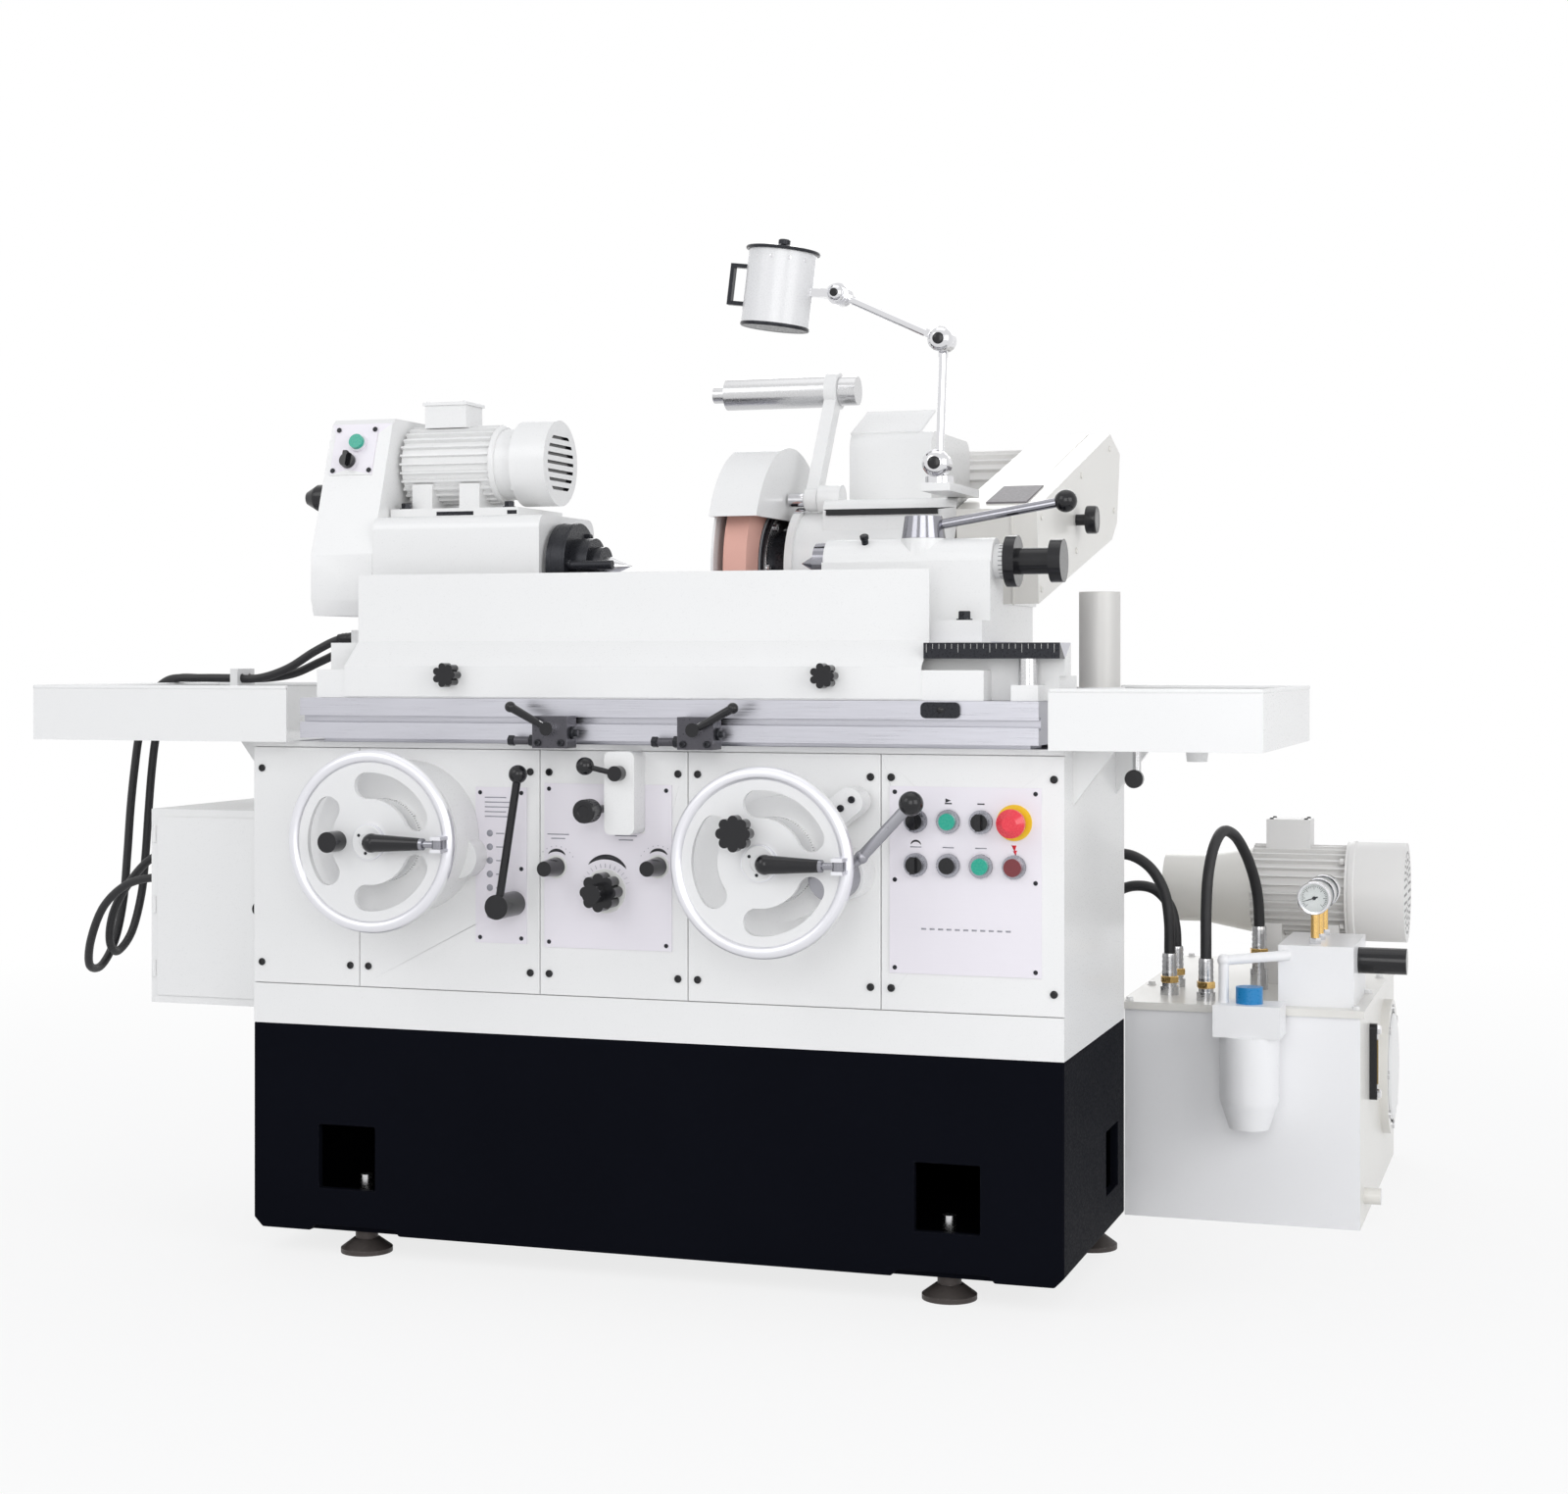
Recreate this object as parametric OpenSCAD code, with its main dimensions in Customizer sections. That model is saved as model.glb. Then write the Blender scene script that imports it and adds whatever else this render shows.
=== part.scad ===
// Universal cylindrical grinder, 200 mm swing by 400 mm between centres, with its hydraulic unit.
// Millimetres: X right, Y to the back, Z up. Modules are written in machine places, from the middle
// of the base, its front face and the floor; seated() moves them over the middle of the machine.

/* [Base] */
// Width of the base along the table
base_w = 1250; // [1230:10:1300]
// Depth of the front part of the base
base_d = 450; // [440:10:470]
// Width of the stem that carries the wheelhead
stem_w = 420; // [400:10:440]
// How far the stem runs behind the front part
stem_d = 650; // [630:10:700]
// Height of the dark plinth
plinth_h = 310; // [290:5:320]
// Height of the painted bed above the plinth
bed_h = 427; // [420:1:440]
// Gap under the plinth, which the levelling feet fill
foot_h = 35; // [30:1:45]
// Diameter of a levelling foot
foot_d = 78; // [70:1:90]

/* [Table] */
// Length of both tables
table_len = 1126; // [1110:1:1140]
// Middle of the table, right of the base's middle
table_x = 33; // [25:1:40]
// Height of the lower table
lower_table_h = 60; // [56:1:66]
// Height of the upper table
upper_table_h = 82; // [76:1:90]
// Depth of the lower table
lower_table_d = 240; // [230:1:244]
// Depth of the upper table
upper_table_d = 160; // [156:1:161]
// Height of the work centres over the upper table
centre_h = 115; // [110:1:120]
// Height of the splash guard over the upper table
guard_h = 102; // [90:1:104]

/* [Workhead] */
// Diameter of the driving plate
plate_d = 130; // [110:1:140]
// Diameter of the workhead motor
drive_d = 124; // [110:1:130]
// Length of the workhead housing
workhead_len = 275; // [260:1:280]

/* [Tailstock] */
// Length of the tailstock body
tailstock_len = 250; // [240:1:260]
// Diameter of the quill
quill_d = 60; // [50:1:64]
// Length of the clamp lever
tail_lever_len = 205; // [180:1:215]

/* [Wheelhead] */
// Diameter of the grinding wheel
wheel_d = 305; // [290:1:307]
// Width of the grinding wheel
wheel_w = 37; // [30:1:40]
// How far the wheel spindle stands behind the front face
wheel_y = 360; // [358:1:366]
// Length of the belt cover
belt_cover_l = 665; // [640:5:680]
// Height of the belt cover
belt_cover_h = 165; // [155:1:175]
// Diameter of the internal grinding spindle
inner_d = 50; // [42:1:52]

/* [Lamp] */
// Length of the lower lamp arm
lamp_low_len = 180; // [180:5:220]
// Length of the upper lamp arm
lamp_up_len = 174; // [160:1:190]
// Diameter of the lamp head
lamp_d = 102; // [90:1:110]
// Height of the lamp head
lamp_h = 112; // [100:1:120]

/* [Front controls] */
// Outer diameter of both handwheels
handwheel_d = 264; // [240:2:270]
// Diameter of the tube of a handwheel rim
rim_d = 19; // [15:1:22]
// From the front face to the middle of a handwheel rim
rim_out = 124; // [115:1:135]
// Diameter of a push button
button_d = 23; // [20:0.5:24]
// Diameter of the emergency stop mushroom
stop_d = 40; // [36:1:42]

/* [Hydraulic unit] */
// Width of the tank
tank_w = 372; // [360:1:380]
// Depth of the tank
tank_d = 650; // [600:10:700]
// Height of the tank
tank_h = 333; // [315:1:350]
// Diameter of the pump motor
pump_motor_d = 156; // [140:2:160]

/* [Hidden] */
$fn = 64;

// Shared sizes
cut = 1;            // overrun of every cut
gap = 0.3;    // between faces that slide or turn past each other
play = 0.05;    // radial play of a shaft in its bore
sheet = 2;          // sheet metal
paint = "whitesmoke";
steel = "lightslategray";
black = "#1b1c1f";
plinth_paint = "#161a22";

// Heights of the stack, floor to work centres
plinth_top = foot_h + plinth_h;
bed_top = plinth_top + bed_h;
way_h = 6;
lower_table_z = bed_top + way_h + gap;
upper_table_z = lower_table_z + lower_table_h + gap;
table_top = upper_table_z + upper_table_h;
work_z = table_top + centre_h;

// Base: a front part with a stem behind it
half_w = base_w / 2;
stem_x = 230;       // middle of the stem and of the wheelhead
stem_l = stem_x - stem_w / 2;
stem_r = stem_x + stem_w / 2;
base_back = base_d + stem_d;
plinth_wall = 12;
plinth_chamfer = 14;
notch_w = 150;
notch_h = 9;
pocket_w = 94;
pocket_h = 96;
pocket_z = 100;
pocket_x = [-468, 460];
side_pocket_y = 350;
foot_inset = 42;    // a foot stands this far behind its face
foot_x = [-456, 453];
foot_rim_h = 14;
foot_neck_d = 40;
foot_screw_d = 20;
foot_screw_h = 70;
foot_nut_d = 34;
foot_nut_h = 14;
rear_foot_y = base_back - 120;
rear_foot_x = [stem_l + 70, stem_r - 70];
side_foot_y = 405;

// Bed: hollow casting behind screwed covers
bed_wall = 14;
bed_lip = 25;
cover_t = 6;
cover_z = 405;
cover_top = 764;
cover_gap = 1.2;
seams = [-446.5, -153, 77.5, 365];
seam_screw = 15;
screw_d = 11;
screw_h = 3;
screw_rows = [437, 731];
screw_edge = 14;
way_w = 70;
way_rows = [10, 130];
way_l = table_len - 40;
rib_rows = [60, 380];
rib_t = 12;
side_rib_w = 60;
side_rib_h = 80;

// Panel plates and what they carry
plate_t = 2;
lever_plate = [-255, 479, -173, 708];
control_plate = [-145, 476, 53.5, 715];
operator_plate = [378, 458.5, 594, 719];
small_screw_d = 6.5;
small_screw_h = 1.6;
small_inset = 8;
column_x = [416, 462.5, 509, 556];
row_z = [610, 671];
bezel_d = 33;
bezel_h = 5;
bezel_bore = button_d + 2 * play;
lamp_lens_d = 25;
lamp_lens_h = 9;
stop_ring_d = 50;
stop_ring_h = 2;
mark_w = 3;
scale_ring_h = 1.5;

// Controls that turn
dwell_x = [-126, 32.5];
dwell_z = [593.5, 597.6];
dwell_d = 28;
dwell_out = 46;
speed_x = -49;
speed_z = 560;
speed_d = 56;
speed_out = 56;
speed_boss_d = 64;
shaft_d = 10;
shaft_in = 24;      // how far a control's shaft reaches behind the front face
button_out = 11;    // how far a button stands out of its plate
button_travel = 4;
button_stem_d = 12;
button_gap = 0.5;
selector_handle_w = 7;
selector_out = 16;
selector_d = 24;
stop_out = 34;
stop_cap_h = 16;
stop_stem_d = 15;

// Levers
lever_hub = [-193, 538];
lever_hub_d = 36;
lever_hub_out = 66;
lever_ball = [-162, 730];
lever_ball_d = 27;
lever_rod_d = 12;
lever_rod_out = 58;
rapid_hub = [322, 596];
rapid_hub_d = 62;
rapid_boss_d = 70;
rapid_knee = [363, 626];
rapid_ball = [433, 700];
rapid_ball_d = 34;
rapid_out = 90;
rapid_hub_out = 104;
rapid_rod_d = 16;
reverse_x = -54;
reverse_z = 679;
reverse_knob_d = 34;
reverse_out = 74;
reverse_hub = [-11, 733];
reverse_hub_d = 22;
reverse_hub_out = 62;
reverse_rod_d = 8;
reverse_ball = [-58, 743];
reverse_ball_out = 57;
reverse_ball_d = 26;
bracket_x = [-34, 12];
bracket_z = [645, 764];
bracket_out = 44;

// Handwheels
wheels = [[-363, 633], [230, 617]];
wheel_plate_t = 9;
hub_d = 52;
hub_out = 134;
wheel_shaft_d = 22;
kidney_in = 62;
kidney_out = 100;
kidney_half_deg = 34;
drum_d = [226, 176];
drum_out = [76, 60];
drum_boss_d = 120;
drum_boss_h = 16;
lug_d = 62;
lug_at = [95, -27];
clutch_knob_d = 30;
clutch_knob_x = -52;
clutch_knob_out = 160;
star_d = 50;
star_at = [-26, 42];
star_out = 168;
star_t = 18;
star_lobes = 8;
grip_hinge_x = 118;
grip_len = 112;
grip_big_d = 26;
grip_small_d = 17;
grip_out = 150;     // how far the folded grip's axis lies in front of the base
grip_pin_d = 8;
grip_eye_d = 16;
grip_eye_h = 12;
grip_ear_t = 5;
grip_neck_d = 10;
grip_neck_l = 14;

// Trays at the table's ends, and the oiler
tray_x = [-985, -545, 612, 900];
tray_y = [-45, 500];
tray_h = 81;
tray_inner_x = 540; // the right tray's floor starts here behind the table
tray_inner_y = 230;
oiler_at = [604, 362];
oiler_d = 62;
oiler_h = 143;
oiler_base_d = 76;
oiler_base_h = 80;
post = [-640, -596, 340, 404];
post_h = 172;
clip_x = -862;
clip_w = 14;
clip_h = 16;

// Control box on the left side of the bed
box_w = 210;
box_y = [50, 450];
box_z = [360, 662];
door_inset = 12;
door_t = 3;
gland_d = 26;

// Cables, from the post over the left tray to the control box
cable_d = 14;
cable_sides = 10;
cable_upper = [
  [-641, 360, 930], [-675, 360, 928], [-720, 360, 908], [-770, 360, 880], [-825, 360, 864],
  [-885, 360, 864], [-945, 360, 864], [-1000, 362, 860], [-1040, 368, 826], [-1062, 374, 772],
  [-1076, 380, 710], [-1088, 386, 640], [-1097, 390, 560], [-1105, 390, 480], [-1114, 378, 412],
  [-1120, 346, 372], [-1116, 305, 378], [-1098, 282, 424], [-1068, 275, 482], [-1022, 275, 520],
  [-965, 275, 533], [-905, 275, 535], [-855, 275, 535]
];
cable_lower = [
  [-641, 384, 912], [-675, 384, 910], [-720, 384, 892], [-770, 384, 872], [-825, 384, 864],
  [-885, 384, 864], [-945, 384, 864], [-1002, 386, 860], [-1028, 392, 815], [-1046, 398, 760],
  [-1058, 404, 700], [-1068, 410, 630], [-1076, 414, 560], [-1083, 412, 490], [-1090, 392, 425],
  [-1095, 355, 396], [-1090, 325, 420], [-1075, 314, 468], [-1044, 310, 516], [-1000, 310, 560],
  [-945, 310, 577], [-895, 310, 580], [-855, 310, 580]
];

// Hydraulic unit: tank on the floor behind the right end of the base
tank_x = 590;
tank_y = 645;
tank_wall = 4;
lid_t = 12;
lid_over = 7;
lid_top = tank_h + lid_t;
hatch_d = 230;
hatch_t = 14;
hatch_y = 1095;
hatch_z = 190;
hatch_bolts = 8;
gauge_y = [702, 770, 838];
sight_y = 815;
sight_w = 22;
sight_h = 124;
sight_t = 12;
sight_z = 178;
drain_y = 720;
drain_z = 40;
drain_d = 26;
drain_l = 26;
pump_y = 1000;
pump_z = 500;
pump_x = [600, 668, 752, 910, 1008];
pump_fin_h = 9;
pump_fin_t = 3;
pump_fins = 32;
pump_bell_d = [118, 150];
pump_cowl_d = 168;
pump_foot_w = 30;
pump_foot_span = 130;
pump_foot_x = [775, 870];
pump_box = [60, 74, 44];
block_x = [832, 950];
block_y = [668, 872];
block_h = 96;
gauge_d = 52;
gauge_t = 24;
gauge_up = 74;
gauge_rod = 13;
gauge_x = 886;
valve_d = 42;
valve_l = 76;
valve_y = 748;
filter_x = 796;
filter_y = 596;
head_w = 104;
head_d = 76;
head_z = [306, 356];
filter_cap_d = 42;
filter_cap_h = 26;
bowl_d = [92, 62];
bowl_h = [100, 46];
pipe_d = 16;
pipe_x = 756;
elbow_d = 20;
pipe_up = 66;
fitting_d = 24;
fitting_h = 34;
fitting_hex_d = 30;
fitting_hex_h = 14;

// Hoses of the hydraulic unit, in machine places
hose_d = 18;
hose_sides = 10;
hose_arch = [
  [714, 690, 379], [714, 690, 430], [714, 692, 490], [716, 699, 545], [722, 720, 590], [732, 752, 614],
  [746, 786, 606], [759, 818, 576], [769, 843, 538], [775, 856, 500], [777, 860, 460], [777, 860, 416]
];
hose_front = [
  [646, 745, 379], [646, 745, 420], [645, 746, 468], [636, 750, 514], [612, 754, 552], [576, 757, 572],
  [536, 759, 568], [502, 760, 548], [474, 760, 540], [458, 760, 540]
];
hose_back = [
  [640, 850, 379], [640, 850, 410], [638, 850, 446], [628, 850, 482], [602, 850, 508], [566, 850, 512],
  [530, 850, 498], [500, 850, 482], [474, 850, 476], [458, 850, 476]
];
hose_ends = [hose_arch[0], hose_arch[len(hose_arch) - 1], hose_front[0], hose_back[0]];
wall_fitting_l = 18;
wall_ports = [[760, 540], [850, 476]];  // places in Y and Z on the right wall of the stem

// Tables
rail_y = -30;       // front face of the lower table
groove_z = 29;      // groove over the underside of the lower table
groove_mouth = 10;
groove_in = 18;
groove_depth = 15;
groove_lip = 6;
table_l = table_x - table_len / 2;
table_r = table_x + table_len / 2;
rail_pad = [398, 22, 4];
pad_w = 56;
pivot = [table_x, 100]; // the upper table turns here
pivot_d = 30;
pivot_h = 12;
upper_l = table_l + 25;
upper_r = table_r - 78;
upper_y = 20;
upper_back = upper_y + upper_table_d;
ledge_y = -24;
ledge_h = 42;
top_slot_w = 14;
top_slot_d = 12;
top_slot_y = 108;
work_y = 130;
scale_bar = [430, 622, -14, 12];
scale_bar_h = 22;
scale_bar_drop = 2;
end_block_w = 96;
end_block_d = 120;
end_block_h = 34;
adjust_d = 26;
adjust_block_w = 38;
adjust_block_h = 22;
guard_x = [-458, 430];
guard_lip_y = ledge_y - sheet;
guard_lip_z = 46;
guard_knob_x = [-285, 293];
guard_knob_z = 34;
guard_knob_d = 36;
guard_knob_h = 22;
guard_knob_lobes = 7;

// Dogs on the rail
dog_x = [-110, 112];
dog_w = 54;
dog_t = 34;
dog_up = 36;
dog_low = 10;       // how far a dog hangs below the underside of the lower table
dog_finger_l = 44;
dog_finger_h = 12;
dog_handle_d = 10;
dog_handle_l = 66;
dog_handle_turn = 28;
dog_grip_d = 13;
dog_nut_d = 20;
dog_nut_h = 13;
tee_gap = 0.3;

// Workhead
workhead_l = -455;
workhead_r = workhead_l + workhead_len;
workhead_turn_x = -325;
work_base_y = [40, 178];
work_base_h = 24;
work_disc_d = 128;
work_disc_h = 4;
work_body_y = [58, 272];
work_body_r = 22;
work_body_top = 77;  // body over the work centres
work_body_z = table_top + work_base_h + work_disc_h + gap;
work_spindle_d = 56;
work_nose_d = 96;
work_nose_h = 6;
live_back_wall = 15;
belt_guard_w = 104;
belt_guard_y = 56;
belt_guard_z = table_top + 42;
belt_guard_d = 224;
belt_guard_h = 306;
belt_guard_shares = [
  [0.04, 0], [0, 0.08], [0, 0.3], [0.31, 0.975], [0.36, 1], [0.92, 1], [1, 0.94], [1, 0]
];
lean_start_share = 0.3;
lean_run_share = 0.31;
lean_rise_share = 0.675;
lean = atan(belt_guard_d * lean_run_share / (belt_guard_h * lean_rise_share));
panel_w = 72;
panel_h = 78;
panel_t = 2;
panel_up_share = 0.83;
panel_off = -6;
work_button_off = [6, 13];
work_selector_off = [-6, -17];
drive_y = 196;
drive_z = work_z + 162;
drive_x = [-448, -300, -262, -204];
motor_fin_h = 7;
motor_fin_t = 3;
motor_fins = 28;
motor_cowl_over = 8;
seat_x = [-452, -238];
seat_y = [112, 282];
seat_h = 14;
foot_w = 34;
foot_span = 104;
vent_d = 100;
vent_w = 5;
vent_rows = 7;
dome_d = 42;
dome_h = 38;
dome_z = 184;
dome_y = 118;
plate_rim_t = 30;
plate_step_d = 84;
plate_step_t = 26;
plate_nose_d = 58;
plate_nose_t = 16;
plate_gap = 1;
drive_pin_d = 14;
drive_pin_l = 46;
drive_pin_r = 36;
centre_shank_d = 28;
centre_point_l = 32;
work_tip_x = -59;
work_bezel_d = 28;

// Tailstock
tail_x = 250;
tail_y = [90, 170];
tail_round_d = 68;
tail_foot_h = 30;
tail_foot_y = [40, 178];
tail_foot_x = 20;
tail_tip_x = 207;
tail_cone_l = 25;
tail_cone_d = 30;
quill_out = 18;
quill_len = 176;
tail_hub_x = 392;
tail_hub_d = [64, 54];
tail_hub_h = 32;
tail_hub_z = 34;    // underside of the lever hub over the work centres
tail_pad_d = 66;
tail_stem_d = 18;
tail_stem_l = 3;
tail_lever_d = 14;
tail_lever_rise = 36;
tail_lever_turn = 6;
tail_ball_d = 33;
spool_d = [74, 38, 62];
spool_t = [16, 48, 18];
spool_gap = 1;
spool_boss_d = 50;
spool_boss_h = 15;
spool_stem_d = 20;
spool_stem_l = 30;

// Wheelhead
head_way_x = [60, 330];
head_way_w = 70;
head_way_h = 12;
head_way_y = [250, 1060];
slide_z = bed_top + head_way_h + gap;
slide_h = 88;
slide_x = [46, 414];
slide_y = [322, 860];
swivel_d = 300;
swivel_h = 8;
swivel_y = 590;
body_z = slide_z + slide_h + swivel_h + gap;
body_x = [60, 400];
body_y = [330, 820];
body_h = 104;
band_h = 15;
band_over = 5;
upper_x = [190, 400];
upper_body_y = [290, 720];
upper_top = 1140;
upper_round = 18;
barrel_d = 180;
barrel_x = [136, 400];
barrel_ring_d = 196;
barrel_ring_t = 12;
hood_box_x = [188, 322];
hood_box_y = [440, 690];
hood_box_h = 116;
hood_box_r = 26;
gasket_x = [196, 372];
gasket_y = 286;
gasket_h = 7;
shelf_x = [150, 400];
shelf_y = [720, 930];
shelf_h = 30;

// Guard round the wheel and cover over the belt
wheel_x = 57;
hood_d = 380;
hood_x = [42, 118];
hood_t = 4;
hood_cut_z = 1111;
side_d = 330;
side_low_z = 940;
belt_x = [405, 528];
belt_wall = 3;
belt_front_y = 283;
belt_front_z = 978;
belt_slope = 15;
// Corners as shares of length and height, from the lower front one
belt_shares = [[0, 0], [0.035, 0.853], [0.936, 0.872], [1.056, 0.572], [0.97, -0.094], [0.893, -0.199]];
belt_knob_y = 560;
belt_knob_z = 1117;
belt_knob_d = 42;
belt_knob_l = 34;
belt_knob_neck_d = 18;
badge_w = 62;
badge_l = 124;
badge_t = 1.5;
badge_x = 474;
badge_in = 34;
pulley_d = 60;
pulley_x = [424, 494];
motor_pulley_d = 100;
motor_shaft_d = 28;
motor_shaft_in = 40;
wheel_foot_y = 75;
axis_y = 812;
axis_z = work_z + (axis_y - wheel_y) * tan(belt_slope);
wheel_motor_d = 190;
wheel_motor_x = [180, 395];
wheel_foot_h = 14;

// Wheel and its spindle
wheel_bore_d = 127;
wheel_recess_d = 190;
wheel_recess = 3;
flange_d = 176;
flange_x = [50, 122];
flange_rim_t = 10;
hub_step_d = 120;
spindle_d = 50;

// Internal grinding attachment over the wheelhead
arm_pivot = [337, 1143];
inner_up = [450, 1322];
inner_x = [-20, 165];
inner_nose_d = 26;
inner_nose_l = 22;
arm_x = [150, 170];
arm_w = 26;
arm_hub_d = 36;
arm_pin_d = 20;
arm_ear_x = [172, 190];
arm_ear_w = 44;
arm_ring_d = 58;
arm_knob_d = 22;
arm_knob_l = 24;
arm_knob_x = 122;
inner_pulley_d = 46;
inner_pulley_l = 29;
inner_shaft_d = 20;
flap_x = [186, 300];
flap_y = [455, 560];
flap_t = 4;
flap_turn = 24;

// Lamp, standing on the wheelhead's front
lamp_x = 404;
lamp_y = 175;
lamp_pad_x = [382, 426];
lamp_pad_y = [150, 330];
lamp_pad_h = 12;
lamp_post_d = 42;
lamp_post_h = 28;
lamp_arm_d = 12;
lamp_ear_t = 9;
lamp_ear_d = 32;
lamp_bolt_d = 8;
lamp_neck = 18;
lamp_stem_d = 16;
lamp_stem_l = 9;
lamp_knob_d = 26;
lamp_knob_l = 14;
lamp_low_lean = 2;
lamp_up_turn = 65;  // how far the upper arm leans from upright, to the left
lamp_head_out = 96;
lamp_head_lean = 7;
lamp_wall = 3;
lamp_lid_t = 4;
lamp_lid_over = 3;
lamp_grip_out = 27;
lamp_grip_t = 6;
lamp_grip_w = 12;
lamp_bulb_d = 56;
lamp_wing_d = 6;
lamp_wing_h = 14;

// The origin is under the middle of the machine
left_reach = tray_x[0];
right_reach = max(pump_x[4], block_x[1] + valve_l);
front_reach = -star_out;
back_reach = tank_y + tank_d + lid_over;
mid_x = (left_reach + right_reach) / 2;
mid_y = (front_reach + back_reach) / 2;

// Placing and plain solids
module seated() {
  translate([-mid_x, -mid_y, 0]) children();
}

module block(x0, x1, y0, y1, z0, z1) {
  translate([x0, y0, z0]) cube([x1 - x0, y1 - y0, z1 - z0]);
}

module rod_x(d, x0, x1, y, z) {
  translate([x0, y, z]) rotate([0, 90, 0]) cylinder(d = d, h = x1 - x0);
}

module rod_y(d, y0, y1, x, z) {
  translate([x, y0, z]) rotate([-90, 0, 0]) cylinder(d = d, h = y1 - y0);
}

module rod_z(d, z0, z1, x, y) {
  translate([x, y, z0]) cylinder(d = d, h = z1 - z0);
}

// A round bar from point a to point b, thicker or thinner at b if asked
module bar(a, b, d, d2 = 0) {
  v = b - a;
  translate(a)
    rotate([0, acos(v[2] / norm(v)), atan2(v[1], v[0])])
      cylinder(d1 = d, d2 = d2 > 0 ? d2 : d, h = norm(v));
}

module ball(d, p) {
  translate(p) rotate([0, 0, 90]) sphere(d = d);
}

// Outline with round corners, exact arcs
module soft_square(w, h, r) {
  translate([r, 0]) square([w - 2 * r, h]);
  translate([0, r]) square([w, h - 2 * r]);
  for (x = [r, w - r], y = [r, h - r]) translate([x, y]) circle(r = r);
}

// A prism along X whose outline has round corners in Y and Z
module soft_block_x(x0, x1, y0, y1, z0, z1, r) {
  translate([x0, y0, z0]) rotate([90, 0, 90]) linear_extrude(x1 - x0) soft_square(y1 - y0, z1 - z0, r);
}

// A prism along Y whose outline has round corners in X and Z
module soft_block_y(x0, x1, y0, y1, z0, z1, r) {
  translate([x0, y1, z0]) rotate([90, 0, 0]) linear_extrude(y1 - y0) soft_square(x1 - x0, z1 - z0, r);
}

// Knob with lobes, along Z
module lobed(d, h, lobes) {
  lobe_d = d * 0.3;
  linear_extrude(h) {
    circle(d = d - lobe_d);
    for (i = [0:lobes - 1]) rotate(i * 360 / lobes) translate([(d - lobe_d) / 2, 0]) circle(d = lobe_d);
  }
}

// Body of a motor along Z: a round core with straight fins
module finned(d, h, fin_h, fin_t, fins) {
  linear_extrude(h) {
    circle(d = d - 2 * fin_h);
    for (i = [0:fins - 1]) rotate(i * 360 / fins) translate([0, -fin_t / 2]) square([d / 2, fin_t]);
  }
}

// One closed tube along a route, as a single mesh
function unit(v) = v / norm(v);
function lead(p, i) = unit(p[min(i + 1, len(p) - 1)] - p[max(i - 1, 0)]);
function side_of(v) = unit(cross(v, abs(v[1]) < 0.9 ? [0, 1, 0] : [0, 0, 1]));
function ring_at(p, i, r, n) =
  let(v = lead(p, i), a = side_of(v), b = cross(v, a))
  [for (k = [0:n - 1]) p[i] + r * (a * cos(k * 360 / n) + b * sin(k * 360 / n))];
module tube(p, d, n) {
  last = len(p) - 1;
  points = [for (i = [0:last]) each ring_at(p, i, d / 2, n)];
  sides = [for (i = [0:last - 1], k = [0:n - 1])
    let(a = i * n + k, b = i * n + (k + 1) % n) [a, b, b + n, a + n]];
  triangles = [for (s = sides) each [[s[0], s[1], s[2]], [s[0], s[2], s[3]]]];
  first_cap = [for (k = [1:n - 2]) [0, k + 1, k]];
  last_cap = [for (k = [1:n - 2]) [last * n, last * n + k, last * n + k + 1]];
  polyhedron(points, concat(triangles, first_cap, last_cap), convexity = 8);
}

// Shafts that pass the front: place along X, height and diameter
control_shafts = [
  [wheels[0][0], wheels[0][1], wheel_shaft_d], [wheels[1][0], wheels[1][1], wheel_shaft_d],
  [lever_hub[0], lever_hub[1], shaft_d], [rapid_hub[0], rapid_hub[1], shaft_d],
  [dwell_x[0], dwell_z[0], shaft_d], [dwell_x[1], dwell_z[1], shaft_d],
  [speed_x, speed_z, shaft_d], [reverse_hub[0], reverse_hub[1], shaft_d]
];
button_places = [[column_x[1], row_z[0]], [column_x[1], row_z[1]], [column_x[2], row_z[0]]];
selector_places = [[column_x[0], row_z[1]], [column_x[2], row_z[1]], [column_x[0], row_z[0]]];
stop_place = [column_x[3], row_z[1]];
pilot_place = [column_x[3], row_z[0]];
front_shafts = concat(
  control_shafts,
  [for (p = button_places) [p[0], p[1], button_stem_d]],
  [for (p = selector_places) [p[0], p[1], shaft_d]],
  [[stop_place[0], stop_place[1], stop_stem_d]]
);
module shaft_holes(y0, y1, room) {
  for (s = front_shafts) rod_y(s[2] + 2 * play, y0 - cut, y1 + cut, s[0], s[1]);
}

// Base
foot_places = [
  [foot_x[0], foot_inset], [foot_x[1], foot_inset], [foot_inset - half_w, side_foot_y],
  [half_w - foot_inset, side_foot_y], [rear_foot_x[0], rear_foot_y], [rear_foot_x[1], rear_foot_y]
];

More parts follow.
